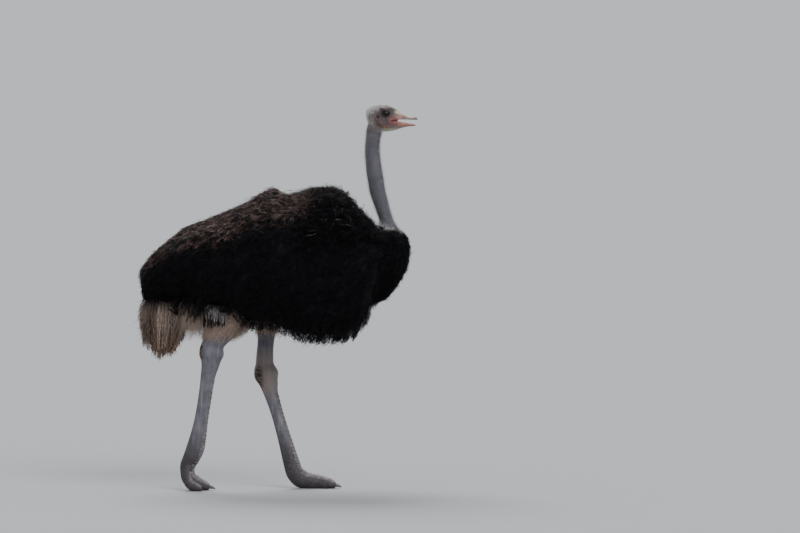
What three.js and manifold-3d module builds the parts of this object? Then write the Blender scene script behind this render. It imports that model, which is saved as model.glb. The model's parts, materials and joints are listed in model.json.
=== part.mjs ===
// An adult male ostrich at life size, in mid stride, as a still display model of closed solids.
// Millimetres. +X is the way it faces, +Y its left and +Z up. The origin lies on the floor, below the
// middle of its outline. Every form is a plain shape warped onto named sizes.
import * as THREE from "three";
import { mergeVertices } from "three/addons/utils/BufferGeometryUtils.js";
import Module from "manifold-3d";

const wasm = await Module();
wasm.setup();
const { Manifold, Mesh } = wasm;

const RIGHT = -1;
const LEFT = 1;
const GAP = 0.45; // clearance round the piece that another one grows from
const FINEST = 0.03; // smallest feature left by a cut
const SCUTE_PROUD = 5; // how far a scute's lower edge stands out
const DEGREE = Math.PI / 180;

// ---------------------------------------------------------------- tools for shapes

// Values at a place on the smooth line through stops, each [place, value, value, ...] in rising order.
function along(stops, place) {
  const last = stops.length - 1;
  const x = Math.min(Math.max(place, stops[0][0]), stops[last][0]);
  let i = 0;
  while (i < last - 1 && x > stops[i + 1][0]) i += 1;
  const from = stops[i];
  const to = stops[i + 1];
  const before = stops[Math.max(i - 1, 0)];
  const after = stops[Math.min(i + 2, last)];
  const span = to[0] - from[0];
  const f = (x - from[0]) / span;
  return from.slice(1).map((start, k) => {
    const rise = to[k + 1] - start;
    const slopeIn = (span * (to[k + 1] - before[k + 1])) / (to[0] - before[0]);
    const slopeOut = (span * (after[k + 1] - start)) / (after[0] - from[0]);
    const square = 3 * rise - 2 * slopeIn - slopeOut;
    const cube = slopeIn + slopeOut - 2 * rise;
    return start + f * (slopeIn + f * (square + f * cube));
  });
}

// A closed solid from a geometry whose corners a function moves into place.
function solid(geometry, place) {
  const corners = geometry.getAttribute("position");
  const spot = new THREE.Vector3();
  for (let i = 0; i < corners.count; i += 1) {
    spot.fromBufferAttribute(corners, i);
    const put = place(spot);
    corners.setXYZ(i, put.x, put.y, put.z);
  }
  geometry.deleteAttribute("normal");
  geometry.deleteAttribute("uv");
  const merged = mergeVertices(geometry, 1e-3);
  const vertProperties = merged.getAttribute("position").array;
  const triVerts = new Uint32Array(merged.getIndex().array);
  const shape = new Manifold(new Mesh({ numProp: 3, vertProperties, triVerts }));
  if (shape.volume() > 0) return shape;
  return new Manifold(new Mesh({ numProp: 3, vertProperties, triVerts: triVerts.reverse() }));
}

// The largest closed surface of a solid.
function largest(shape) {
  const pieces = shape.simplify(FINEST).decompose();
  return pieces.reduce((best, next) => (next.volume() > best.volume() ? next : best));
}

// Seeded draws from low to high.
function draws(seed) {
  let state = seed;
  return (low, high) => {
    state = (state * 48271) % 2147483647;
    return low + ((high - low) * state) / 2147483647;
  };
}

// The ball of radius 1 stretched to half sizes and set at a middle.
function ball(middle, half, sides, rings) {
  const put = (p) => new THREE.Vector3(...half).multiply(p).add(new THREE.Vector3(...middle));
  return solid(new THREE.SphereGeometry(1, sides, rings), put);
}

// ---------------------------------------------------------------- limbs

// A point of a limb. Each stop is [x, y, z, deep, wide], half its size in the plane of its bend and
// across it. front and side are 1 on its surface, and out lifts the point off it.
function limbPoint(stops, t, front, side, out = 0, slide = 0) {
  const last = stops.length - 1;
  const numbered = stops.map((stop, i) => [i, ...stop]);
  const [x, y, z, deep, wide] = along(numbered, t * last);
  const ahead = along(numbered, t * last + 0.05);
  const behind = along(numbered, t * last - 0.05);
  const way = new THREE.Vector3(ahead[0] - behind[0], ahead[1] - behind[1], ahead[2] - behind[2]).normalize();
  const forward = way.clone().cross(new THREE.Vector3(0, 1, 0)).normalize();
  const across = forward.clone().cross(way);
  return new THREE.Vector3(x, y, z)
    .addScaledVector(forward, front * (deep + out))
    .addScaledVector(across, side * (wide + out))
    .addScaledVector(way, slide);
}

// The rings of a limb, each [t, lift of its front]: evenly spaced, or closer where it is scuted, with a
// step up to each scute's lower edge and down again to the next one.
function evenRings(count) {
  return Array.from({ length: count + 1 }, (_, k) => [k / count, 0]);
}

function scutedRings(bare, from, to, count) {
  const step = (to - from) / count;
  const rings = Array.from({ length: bare }, (_, k) => [(from * k) / bare, 0]);
  for (let k = 0; k < count; k += 1) {
    rings.push([from + k * step, 0], [from + (k + 0.86) * step, SCUTE_PROUD]);
  }
  return [...rings, [to, 0], [1, 0]];
}

function limb(stops, sides, rings, grow = 0) {
  const tube = new THREE.CylinderGeometry(1, 1, 1, sides, rings.length - 1);
  return solid(tube, (p) => {
    const [t, lift] = rings[Math.round((0.5 - p.y) * (rings.length - 1))];
    const slide = Math.abs(p.y) > 0.499 ? -2 * p.y * grow : 0;
    const raised = Math.max(p.z - 0.3, 0) * lift;
    return limbPoint(stops, t, p.z, p.x, grow + raised, slide);
  });
}

// The two sides of a thin cut across a shape, at a point and across a direction.
function part(shape, point, way) {
  const normal = new THREE.Vector3(...way).normalize();
  const offset = normal.dot(new THREE.Vector3(...point));
  const above = shape.trimByPlane(normal.toArray(), offset + GAP / 2);
  const below = shape.trimByPlane(normal.clone().negate().toArray(), GAP / 2 - offset);
  return [above, below];
}

// ---------------------------------------------------------------- feathers

// Along a feather: place from root to tip, and share of its full width there.
const VANE_RINGS = [[0, 0.45], [0.36, 1], [0.84, 0.8], [1, 0]];
const LAST_WIDE = VANE_RINGS[VANE_RINGS.length - 2][0];
const VANE_THICK = 3.4; // at the shaft
const ROOT_SUNK = 11;
const EDGE_CLEAR = 12; // how much further than its faces a grown feather's sharp edges move out
const SIN_60 = Math.sin(Math.PI / 3);

// One feather: a tapered blade with a raised shaft on its outer side, from its root at path(0) to its
// tip at path(1), rolled about its length so that neighbours lie over one another like shingles. A grown
// one keeps other pieces clear of it.
function vane(path, outward, halfWidth, roll, grow) {
  const cone = new THREE.ConeGeometry(1, 1, 3, VANE_RINGS.length - 1);
  const lie = path(0.8).sub(path(0)).normalize();
  const across = outward.clone().cross(lie).normalize().applyAxisAngle(lie, roll);
  return solid(cone, (p) => {
    const level = p.y + 0.5;
    const [t, full] = VANE_RINGS[Math.round(level * (VANE_RINGS.length - 1))];
    const way = path(Math.min(t + 0.02, 1)).sub(path(t === 1 ? LAST_WIDE : t - 0.02)).normalize();
    const up = way.clone().cross(across).normalize();
    const spot = path(t);
    if (t === 1) return spot.addScaledVector(way, EDGE_CLEAR * grow).addScaledVector(up, 0.3 * VANE_THICK);
    if (t === 0) spot.addScaledVector(way, -2 * grow);
    const side = p.x / ((1 - level) * SIN_60);
    const height = (p.z / (1 - level) + 0.5) / 1.5;
    return spot
      .addScaledVector(across, side * (halfWidth * full + EDGE_CLEAR * grow))
      .addScaledVector(up, height * (VANE_THICK + 3 * grow) - grow);
  });
}

// ---------------------------------------------------------------- body

const BODY_BACK = -600;
const BODY_FRONT = 592;
const BODY_MIDDLE = (BODY_BACK + BODY_FRONT) / 2;
const BODY_HALF = (BODY_FRONT - BODY_BACK) / 2;
// Place along the body, then the height of its middle and its full half height and half width there.
const BODY_LINE = [
  [-600, 985, 214, 226],
  [-430, 1035, 214, 228],
  [-280, 1060, 230, 236],
  [-100, 1090, 247, 240],
  [100, 1099, 258, 240],
  [275, 1098, 268, 244],
  [400, 1097, 268, 242],
  [500, 1112, 266, 240],
  [592, 1158, 262, 236],
];

// A point on the body's core at x, turned from its top towards the left, and lifted off by out.
function bodyPoint(x, turn, out) {
  const share = Math.min(Math.max((x - BODY_MIDDLE) / BODY_HALF, -1), 1);
  const round = Math.sqrt(1 - share * share);
  const [z, high, wide] = along(BODY_LINE, x);
  const push = Math.max(round, 0.35);
  return new THREE.Vector3(
    x + out * share * (1 - round),
    Math.sin(turn) * (wide * round + out * push),
    z + Math.cos(turn) * (high * round + out * push),
  );
}

function bodyCore(out) {
  return solid(new THREE.SphereGeometry(1, 18, 10), (p) => {
    const turn = Math.atan2(p.x, p.z);
    const x = BODY_MIDDLE + BODY_HALF * p.y;
    const onAxis = Math.hypot(p.x, p.z) < 1e-6;
    if (onAxis) return new THREE.Vector3(x + Math.sign(p.y) * out, 0, along(BODY_LINE, x)[0]);
    return bodyPoint(x, turn, out);
  });
}

// Under their tips the feathers are packed into one mass: the back, as the stops of a limb along X, and
// the breast, as the middles and half sizes of balls.
const BACK = [
  [-640, 0, 1010, 36, 60],
  [-600, 0, 1035, 76, 140],
  [-530, 0, 1062, 104, 185],
  [-442, 0, 1090, 150, 215],
  [-335, 0, 1100, 180, 235],
  [-211, 0, 1115, 213, 240],
  [-94, 0, 1142, 244, 240],
  [60, 0, 1147, 245, 240],
  [170, 0, 1147, 268, 240],
  [276, 0, 1147, 275, 242],
  [326, 0, 1147, 237, 240],
  [401, 0, 1147, 160, 228],
  [452, 0, 1147, 110, 205],
  [498, 0, 1147, 60, 170],
];
const BREAST = [[[470, 0, 1080], [153, 200, 180]], [[535, 0, 1160], [84, 135, 84]]];
const PACKED_IN = 24; // how far the mass lies inside these sizes
const BREAST_IN = 8; // the same at the breast, where the feathers are short and dense
const TIP_PROUD = 8; // how far a feather's tip stands outside them

function packedFeathers(grow) {
  const back = limb(BACK, 14, evenRings(BACK.length - 1), grow - PACKED_IN);
  const breast = BREAST.map(([middle, half]) => ball(middle, half.map((size) => size + grow - BREAST_IN), 14, 9));
  return [back, ...breast];
}

// Moves a point that lies inside a mass along X out of it, square to X.
function clearOfMass(stops, spot, out) {
  const ends = [stops[0][0], stops[stops.length - 1][0]];
  if (spot.x < Math.min(...ends) || spot.x > Math.max(...ends)) return;
  const [y, z, deep, wide] = along(stops, spot.x);
  const depth = Math.hypot((spot.y - y) / (wide + out), (spot.z - z) / (deep + out));
  if (depth < 1) spot.set(spot.x, y + (spot.y - y) / depth, z + (spot.z - z) / depth);
}

function clearOfBall([middle, half], spot, out) {
  const centre = new THREE.Vector3(...middle);
  const depth = spot.clone().sub(centre).divide(new THREE.Vector3(...half).addScalar(out)).length();
  if (depth < 1) spot.sub(centre).divideScalar(depth).add(centre);
}

// How far a feather stands off its mass along it: from its sunken root to its tip.
function proud(t) {
  return -PACKED_IN - ROOT_SUNK + (ROOT_SUNK + PACKED_IN + TIP_PROUD) * Math.min(t / 0.5, 1);
}

// Feathers of the body lie back from the neck. Their tips stand off the core by its coat's reach:
// place along the body, reach on the back, on the flanks and below.
const COAT = [
  [-600, 38, 36, 26],
  [-440, 66, 55, 35],
  [-300, 52, 50, 40],
  [-150, 60, 50, 50],
  [-60, 88, 50, 60],
  [60, 62, 50, 80],
  [200, 86, 55, 125],
  [320, 88, 62, 150],
  [440, 42, 70, 110],
  [592, 38, 60, 72],
];
const COAT_ROWS = { first: 566, last: -580, step: 82 };
const COAT_PITCH = 102; // between the roots of one row
const COAT_LENGTH = 165;
const COAT_HALF_WIDTH = 46;
const COAT_ROLL = 9 * DEGREE;
const COAT_CURVE = 2600; // twice the radius that the core falls away with under a feather
const RUMP = { front: -330, back: -560, sag: 70 }; // where the feathers begin to hang over the tail

// Where other pieces lie on the body: its wings, its thighs, the root of its neck and its tail.
function bareOfFeathers(x, turn) {
  const down = Math.abs(turn) / DEGREE;
  if (x > -430 && x < 400 && down > 40 && down < 128) return true;
  if (x < 165 && down > 100) return true;
  if (x > 500 && down < 62) return true;
  return x < -500 && down > 90;
}

// A feather stands up from its root and then lies over: its height from 0 to 1 along it.
function loft(t) {
  return Math.sin(0.56 * Math.PI * t) / Math.sin(0.56 * Math.PI);
}

function bodyFeather(x, turn, long, lift, grow) {
  const surface = bodyPoint(x, turn, 0);
  const swirl = 0.02 * Math.sin(turn);
  const lie = bodyPoint(x - 10, turn + swirl, 0).sub(surface).normalize();
  const outward = bodyPoint(x, turn, 40).sub(surface);
  outward.addScaledVector(lie, -outward.dot(lie)).normalize();
  const [back, flank, below] = along(COAT, x).map((reach) => reach * lift);
  const up = Math.cos(turn);
  const reach = up > 0 ? flank + (back - flank) * up : flank + (flank - below) * up;
  const rump = Math.min(Math.max((RUMP.front - x) / (RUMP.front - RUMP.back), 0), 1);
  const length = COAT_LENGTH * long * (up > 0 ? 1 : 1 + 0.25 * up) * (1 - 0.22 * rump);
  const curve = (length * length) / COAT_CURVE;
  const sag = 14 + 14 * Math.abs(Math.sin(turn)) + RUMP.sag * rump;
  const path = (t) => {
    const spot = surface.clone()
      .addScaledVector(lie, length * t)
      .addScaledVector(outward, -ROOT_SUNK + (reach + ROOT_SUNK - curve) * loft(t))
      .add(new THREE.Vector3(0, 0, -sag * t * t));
    clearOfMass(BACK, spot, proud(t));
    BREAST.forEach((part) => clearOfBall(part, spot, proud(t)));
    return spot;
  };
  return vane(path, outward, COAT_HALF_WIDTH, COAT_ROLL, grow);
}

function torsoShape(grow) {
  const draw = draws(11);
  const pieces = [bodyCore(grow), ...packedFeathers(grow)];
  let row = 0;
  for (let x = COAT_ROWS.first; x > COAT_ROWS.last; x -= COAT_ROWS.step) {
    const share = (x - BODY_MIDDLE) / BODY_HALF;
    const [, high, wide] = along(BODY_LINE, x);
    const around = Math.PI * (high + wide) * Math.sqrt(1 - share * share);
    const count = Math.max(5, Math.round(around / COAT_PITCH));
    for (let k = 0; k < count; k += 1) {
      const turn = ((k + (row % 2) / 2) / count) * 2 * Math.PI - Math.PI + draw(-0.07, 0.07);
      const place = x + draw(-14, 14);
      const long = draw(0.9, 1.15);
      const lift = draw(0.8, 1.12);
      if (!bareOfFeathers(place, turn)) pieces.push(bodyFeather(place, turn, long, lift, grow));
    }
    row += 1;
  }
  return Manifold.union(pieces);
}

// ---------------------------------------------------------------- wings

const WING_MIDDLE = -30; // along X
const WING_HALF = 400;
const WING_START = 36 * DEGREE; // where it leaves the back, turned from the top
const WING_FALL = 470; // from there down to its lower edge, along the surface
const WING_THICK = 55;

// A point of the flank at x, at fall below the wing's root line, first round the body, then straight down.
function flankPoint(side, x, fall, out) {
  const [z, high, wide] = along(BODY_LINE, x);
  const share = Math.min(Math.max((x - BODY_MIDDLE) / BODY_HALF, -1), 1);
  const round = Math.sqrt(1 - share * share);
  const radius = high * round;
  const turn = WING_START + fall / radius;
  const quarter = Math.PI / 2;
  const drop = Math.max(turn - quarter, 0) * radius;
  const bend = Math.min(turn, quarter);
  const y = (wide * round + out) * Math.sin(bend) - drop * 0.06;
  return new THREE.Vector3(x, side * y, z + (radius + out) * Math.cos(bend) - drop);
}

// How far the feathers stand off the flank, 0 past a rounded-off square outline.
function wingTop(x, fall) {
  const u = (x - WING_MIDDLE) / WING_HALF;
  const v = fall / (WING_FALL / 2) - 1;
  const rim = (u ** 4 + v ** 4) ** 0.25;
  return WING_THICK * Math.sqrt(Math.max(1 - rim * rim, 0));
}

// A folded wing's packed feathers, as the stops of a limb along X.
const WING = [
  [-428, 140, 1010, 100, 60],
  [-372, 160, 1028, 132, 90],
  [-300, 176, 1042, 148, 104],
  [-200, 185, 1056, 162, 114],
  [-160, 188, 1040, 190, 118],
  [-125, 190, 1030, 212, 120],
  [-20, 195, 1030, 220, 122],
  [60, 195, 1022, 237, 122],
  [150, 195, 1004, 251, 122],
  [250, 190, 998, 252, 122],
  [350, 185, 996, 239, 116],
  [412, 180, 990, 200, 100],
  [454, 170, 982, 148, 70],
];

function wingCore(side, grow) {
  return limb(sided(WING, side), 10, evenRings(WING.length - 1), grow - PACKED_IN);
}

// Rows of wing feathers: fall of their roots, first and last root along X, how many, how far their tips
// lie back and down, and how far they stand off.
const WING_ROWS = [
  { fall: 52, front: 290, back: -330, count: 5, aft: 160, down: 105, lift: 42 },
  { fall: 145, front: 325, back: -375, count: 7, aft: 135, down: 135, lift: 36 },
  { fall: 240, front: 335, back: -380, count: 7, aft: 100, down: 160, lift: 30 },
  { fall: 335, front: 320, back: -375, count: 8, aft: 65, down: 190, lift: 24 },
  { fall: 410, front: 285, back: -110, count: 4, aft: 35, down: 180, lift: 0 },
];
// The height that the lowest tips hang to, along X.
const WING_HEM = [
  [-470, 915],
  [-350, 872],
  [-200, 864],
  [-160, 850],
  [-130, 795],
  [-20, 788],
  [60, 760],
  [150, 732],
  [300, 745],
];
const WING_HALF_WIDTH = 45;
const WING_ROLL = 13 * DEGREE;
// The pale flight feathers folded under the wing's hind end.
const FLIGHT = { fall: 432, front: -235, back: -335, count: 4, aft: 18, down: 150, lift: -30, tip: 798 };

function wingFeather(side, x, fall, aft, down, lift, hem, grow) {
  const path = (t) => {
    const place = x - aft * t;
    const dropped = fall + down * t * (0.85 + 0.15 * t);
    const rise = Math.min(t / 0.4, 1);
    const out = wingTop(place, dropped) - ROOT_SUNK + (ROOT_SUNK + lift) * rise;
    const spot = flankPoint(side, place, dropped, out + 1);
    clearOfMass(sided(WING, side), spot, proud(t));
    spot.z = Math.max(spot.z, hem - 40 * (1 - t));
    return spot;
  };
  const outward = flankPoint(side, x, fall, 40).sub(flankPoint(side, x, fall, 0)).normalize();
  return vane(path, outward, WING_HALF_WIDTH, side * WING_ROLL, grow);
}

function wingShape(side, grow) {
  const draw = draws(side > 0 ? 31 : 47);
  const pieces = [wingCore(side, grow)];
  WING_ROWS.forEach(({ fall, front, back, count, aft, down, lift }) => {
    for (let k = 0; k < count; k += 1) {
      const x = front + ((back - front) * (k + draw(-0.12, 0.12))) / (count - 1);
      const hem = along(WING_HEM, x - aft)[0] + draw(-14, 14);
      const off = lift + draw(-2, 2);
      pieces.push(wingFeather(side, x, fall + draw(-10, 10), aft, down * draw(0.9, 1.15), off, hem, grow));
    }
  });
  for (let k = 0; k < FLIGHT.count; k += 1) {
    const x = FLIGHT.front + ((FLIGHT.back - FLIGHT.front) * k) / (FLIGHT.count - 1);
    const hem = FLIGHT.tip + 7 * k;
    pieces.push(wingFeather(side, x, FLIGHT.fall, FLIGHT.aft, FLIGHT.down, FLIGHT.lift, hem, grow));
  }
  return Manifold.union(pieces);
}

// ---------------------------------------------------------------- tail

const TAIL_MIDDLE = [-548, 0, 930];
const TAIL_HALF = [78, 92, 92];
// Rings of plumes from the outermost in: how many, height of their roots above the core's middle, half
// the spread of their tips along X and across, and height of the lowest tip.
const TAIL_RINGS = [
  { count: 13, root: 45, along: 106, across: 128, tip: 662, bulge: 30 },
  { count: 11, root: 0, along: 84, across: 98, tip: 640, bulge: 22 },
  { count: 6, root: -45, along: 48, across: 56, tip: 646, bulge: 10 },
];
const TAIL_HALF_WIDTH = 34;
const TAIL_ROLL = 14 * DEGREE;

function tailPlume(turn, ring, drop, grow) {
  const middle = new THREE.Vector3(...TAIL_MIDDLE);
  const high = ring.root / TAIL_HALF[2];
  const waist = Math.sqrt(1 - high * high) * 0.88;
  const back = -Math.cos(turn);
  const aside = Math.sin(turn);
  const [halfLong, halfWide] = TAIL_HALF;
  const root = new THREE.Vector3(back * halfLong * waist, aside * halfWide * waist, ring.root).add(middle);
  const tip = new THREE.Vector3(middle.x + back * ring.along, aside * ring.across, ring.tip + drop);
  tip.z += 62 * back * back * (ring.along / 106);
  const outward = new THREE.Vector3(back, aside, 0.2).normalize();
  const path = (t) => root.clone().lerp(tip, t)
    .addScaledVector(new THREE.Vector3(back, aside, 0), ring.bulge * Math.sin(Math.PI * Math.min(t, 1)));
  return vane(path, outward, TAIL_HALF_WIDTH, TAIL_ROLL, grow);
}

function tailShape(grow) {
  const draw = draws(71);
  const pieces = [ball(TAIL_MIDDLE, TAIL_HALF.map((size) => size + grow), 14, 10)];
  TAIL_RINGS.forEach((ring, level) => {
    for (let k = 0; k < ring.count; k += 1) {
      const turn = ((k + level / 2) / ring.count) * 2 * Math.PI + draw(-0.08, 0.08);
      pieces.push(tailPlume(turn, ring, draw(-12, 22), grow));
    }
  });
  return Manifold.union(pieces);
}

// ---------------------------------------------------------------- neck and head

// Up the neck: x, y, z, half its depth and half its width.
const NECK = [
  [520, 0, 1110, 44, 42],
  [543, 0, 1175, 46, 43],
  [545, 0, 1232, 42, 39],
  [527, 0, 1281, 33, 31],
  [511, 0, 1330, 33, 31],
  [496, 0, 1379, 36, 32],
  [481, 0, 1428, 38, 33],
  [473, 0, 1477, 39, 33],
  [465, 0, 1526, 39, 33],
  [459, 0, 1575, 37.5, 32],
  [455, 0, 1624, 37, 31],
  [458, 0, 1680, 36, 31],
  [466, 0, 1730, 38, 33],
  [478, 0, 1775, 30, 28],
];
// Through the skull from its back to the bill, in the same way, with depth up and down.
const SKULL = [
  [432, 0, 1774, 3, 3],
  [438, 0, 1775, 34, 24],
  [458, 0, 1777, 49, 36],
  [484, 0, 1779, 57, 42],
  [510, 0, 1780, 58, 45],
  [535, 0, 1778, 55, 43],
  [560, 0, 1774, 48, 37],
  [582, 0, 1769, 38, 30],
  [600, 0, 1767, 30, 26],
  [616, 0, 1768, 22, 22],
];
const BILL_ABOVE = [
  [585, 0, 1782, 26, 26],
  [600, 0, 1783, 16, 24.5],
  [615, 0, 1782, 11, 22.5],
  [632, 0, 1781.5, 7.5, 20.5],
  [650, 0, 1781, 7, 18],
  [662, 0, 1780, 6.5, 13.5],
  [669, 0, 1778, 2.5, 6],
];
const BILL_BELOW = [
  [575, 0, 1752, 22, 28],
  [592, 0, 1752, 17, 25],
  [610, 0, 1753, 11, 22],
  [630, 0, 1753, 7, 19],
  [648, 0, 1751.5, 4.5, 15.5],
  [657, 0, 1751, 3.5, 11.5],
  [663, 0, 1750.5, 1.5, 5],
];
// The open mouth from its corner: x, its lower and its upper edge.
const MOUTH = [
  [536, 1770.8, 1772.2],
  [562, 1769, 1774],
  [588, 1764.5, 1779],
  [612, 1760.5, 1780.5],
  [640, 1756, 1780],
  [700, 1748, 1779],
];
const MOUTH_ACROSS = 120; // wider than the head
const BILL_ROOT = [594, 0, 1770];
const HEAD_ROOT = [458, 0, 1694];
const NECK_THIRDS = [[461, 0, 1560], [490, 0, 1400]];
const EYE = [520, 26, 1805];
const EYE_RADIUS = 22.5;
const EYE_OPENING = [18.5, 14]; // half its length and half its height
const EYE_PROUD = 30; // where the opening's depth is centred, out from the eye's middle
const LID = 3;
const EAR = [480, 39, 1784];
const EAR_RING = 8.5;
const EAR_RIM = 2.6;
const EAR_HOLE = [6, 9, 8];
const NOSTRIL = [607, 17, 1788.5];
const NOSTRIL_HALF = [7, 5, 1.8];

function mouthSlot() {
  const [corner] = MOUTH[0];
  const [end] = MOUTH[MOUTH.length - 1];
  return solid(new THREE.BoxGeometry(1, 1, 1, 5, 1, 1), (p) => {
    const x = corner + (p.x + 0.5) * (end - corner);
    const [low, high] = along(MOUTH, x);
    return new THREE.Vector3(x, p.y * MOUTH_ACROSS, p.z > 0 ? high : low);
  });
}

function mirrored(side, point) {
  return [point[0], side * point[1], point[2]];
}

function eyeball(side, grow) {
  const radius = EYE_RADIUS + grow;
  return ball(mirrored(side, EYE), [radius, radius, radius], 10, 8);
}

// The lids round an eye: a cap over the eyeball, open along the lid line.
function lids(side) {
  const over = EYE_RADIUS + LID;
  return ball(mirrored(side, EYE), [over + 1, over, over], 12, 9);
}

function eyeOpening(side) {
  const [long, high] = EYE_OPENING;
  return solid(new THREE.CylinderGeometry(1, 1, 1, 12, 1), (p) => new THREE.Vector3(
    EYE[0] + 1 + p.x * long,
    side * (EYE[1] + EYE_PROUD + p.y * 40),
    EYE[2] + p.z * high - 0.05 * p.x * long,
  ));
}

function earRim(side) {
  return solid(new THREE.TorusGeometry(EAR_RING, EAR_RIM, 4, 8), (p) => new THREE.Vector3(
    EAR[0] + p.x - 0.12 * p.z,
    side * (EAR[1] + p.z * 1.2 + 0.8 - 0.1 * p.x),
    EAR[2] + p.y * 1.25,
  ));
}

function headAndNeck() {
  let shape = Manifold.union([
    limb(NECK, 12, evenRings(24)),
    limb(SKULL, 16, evenRings(13)),
    limb(BILL_ABOVE, 10, evenRings(8)),
    limb(BILL_BELOW, 10, evenRings(8)),
    ...[RIGHT, LEFT].flatMap((side) => [lids(side), earRim(side)]),
  ]);
  shape = shape.subtract(mouthSlot());
  for (const side of [RIGHT, LEFT]) {
    shape = shape.subtract(eyeball(side, GAP));
    shape = shape.subtract(eyeOpening(side));
    shape = shape.subtract(ball(mirrored(side, EAR), EAR_HOLE, 8, 6));
    shape = shape.subtract(ball(mirrored(side, NOSTRIL), NOSTRIL_HALF, 8, 6));
  }
  return shape;
}

// ---------------------------------------------------------------- legs

// Each limb's stops: x, y to its own side, z, half its depth and half its width.
const LEGS = {
  right: {
    side: RIGHT,
    drumstick: [
      [70, 138, 1030, 60, 55],
      [10, 138, 1010, 100, 76],
      [-110, 138, 945, 122, 82],
      [-205, 132, 860, 112, 74],
      [-268, 126, 780, 84, 58],
      [-300, 121, 712, 56, 43],
      [-311, 118, 655, 52, 42],
    ],
    shank: [
      [-306, 119, 700, 50, 40],
      [-312, 117, 655, 55, 43],
      [-317, 114, 610, 44, 34],
      [-330, 109, 540, 33, 25],
      [-345, 104, 440, 30, 22],
      [-362, 98, 340, 31, 22],
      [-377, 92, 260, 38, 26],
      [-390, 88, 205, 43, 34],
      [-396, 86, 178, 38, 33],
    ],
    toe: [
      [-394, 86, 196, 36, 30],
      [-410, 84, 160, 40, 33],
      [-432, 81, 112, 35, 30],
      [-424, 78, 62, 34, 29],
      [-392, 74, 34, 36, 29],
      [-362, 71, 24, 28, 26],
      [-336, 69, 17, 20, 20],
      [-322, 68, 13, 9, 12],
    ],
    small: [
      [-420, 98, 120, 20, 16],
      [-434, 108, 84, 21, 17],
      [-424, 116, 42, 22, 18],
      [-398, 124, 21, 23, 18],
      [-372, 131, 13, 16, 15],
      [-356, 135, 10, 7, 7],
    ],
    claw: [[-334, 69, 17, 11, 13], [-322, 68, 16, 9, 11], [-308, 67, 12, 6, 7.5], [-295, 66, 6, 1.5, 2]],
  },
  left: {
    side: LEFT,
    drumstick: [
      [40, 140, 1070, 60, 55],
      [25, 140, 1020, 104, 76],
      [-8, 140, 950, 112, 80],
      [-35, 138, 860, 86, 66],
      [-54, 135, 770, 55, 48],
      [-62, 133, 690, 42, 37],
      [-66, 130, 610, 43, 37],
      [-58, 128, 550, 50, 41],
    ],
    shank: [
      [-64, 130, 590, 46, 39],
      [-55, 127, 545, 55, 43],
      [-46, 122, 500, 45, 35],
      [-33, 114, 450, 33, 26],
      [-8, 101, 370, 28, 23],
      [19, 86, 280, 29, 22],
      [44, 71, 195, 33, 24],
      [64, 60, 125, 38, 30],
      [76, 54, 80, 39, 33],
    ],
    toe: [
      [66, 56, 108, 32, 28],
      [80, 52, 72, 42, 33],
      [112, 50, 43, 46, 35],
      [152, 48, 35, 39, 34],
      [196, 46, 30, 35, 31],
      [236, 44, 24, 28, 28],
      [266, 43, 17, 20, 21],
      [282, 42, 13, 9, 12],
    ],
    small: [
      [84, 66, 62, 22, 18],
      [108, 78, 40, 26, 20],
      [142, 92, 27, 29, 20],
      [176, 104, 20, 24, 18],
      [204, 112, 13, 16, 14],
      [220, 116, 10, 7, 7],
    ],
    claw: [[268, 43, 17, 11, 13], [280, 42, 16, 9, 11], [295, 41, 12, 6, 7.5], [309, 40, 6, 1.5, 2]],
  },
};

const DRUMSTICK_RINGS = evenRings(10);
const SHANK_RINGS = scutedRings(6, 0.52, 0.96, 5);
const TOE_RINGS = scutedRings(3, 0.26, 0.9, 6);

const SMALL_RINGS = evenRings(8);
const CLAW_RINGS = evenRings(5);

function sided(stops, side) {
  return stops.map(([x, y, z, deep, wide]) => [x, side * y, z, deep, wide]);
}

// What reaches the floor is flat there.
function grounded(shape) {
  return shape.trimByPlane([0, 0, 1], 0);
}

// Each piece of a leg, cut clear of the piece that it grows from.
function legParts(leg, bodyGrown) {
  const drumstick = (grow) => limb(sided(leg.drumstick, leg.side), 12, DRUMSTICK_RINGS, grow);
  const shank = (grow) => limb(sided(leg.shank, leg.side), 10, SHANK_RINGS, grow);
  const toe = (grow) => limb(sided(leg.toe, leg.side), 12, TOE_RINGS, grow);
  const small = limb(sided(leg.small, leg.side), 10, SMALL_RINGS);
  const claw = limb(sided(leg.claw, leg.side), 8, CLAW_RINGS);
  return {
    drumstick: largest(drumstick(0).subtract(bodyGrown)),
    shank: largest(shank(0).subtract(drumstick(GAP))),
    toe_big: largest(grounded(toe(0)).subtract(shank(GAP))),
    toe_small: largest(grounded(small).subtract(toe(GAP)).subtract(shank(GAP))),
    claw: largest(grounded(claw).subtract(toe(GAP))),
  };
}

// ---------------------------------------------------------------- the whole bird

function finish(color, roughness) {
  return new THREE.MeshStandardMaterial({ color, roughness, metalness: 0 });
}

const PLUMAGE = finish(0x14110f, 0.9);
const TAIL_PLUMES = finish(0x9a8776, 0.9);
const NECK_SKIN = finish(0x8d8790, 0.8);
const BILL = finish(0xa98579, 0.5);
const EYE_DARK = finish(0x1c1310, 0.08);
const FLANK_DOWN = finish(0xb7a394, 0.85);
const LEG_SKIN = finish(0x77798a, 0.7);
const CLAW = finish(0x3b332e, 0.45);
const LEG_MATERIALS = {
  drumstick: FLANK_DOWN,
  shank: LEG_SKIN,
  toe_big: LEG_SKIN,
  toe_small: LEG_SKIN,
  claw: CLAW,
};

const ostrich = new THREE.Group();

function addPiece(name, shape, material) {
  const { vertProperties, triVerts } = shape.getMesh();
  const geometry = new THREE.BufferGeometry();
  geometry.setAttribute("position", new THREE.BufferAttribute(vertProperties, 3));
  geometry.setIndex(new THREE.BufferAttribute(triVerts, 1));
  geometry.computeVertexNormals();
  const piece = new THREE.Mesh(geometry, material);
  piece.name = name;
  ostrich.add(piece);
}

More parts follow.
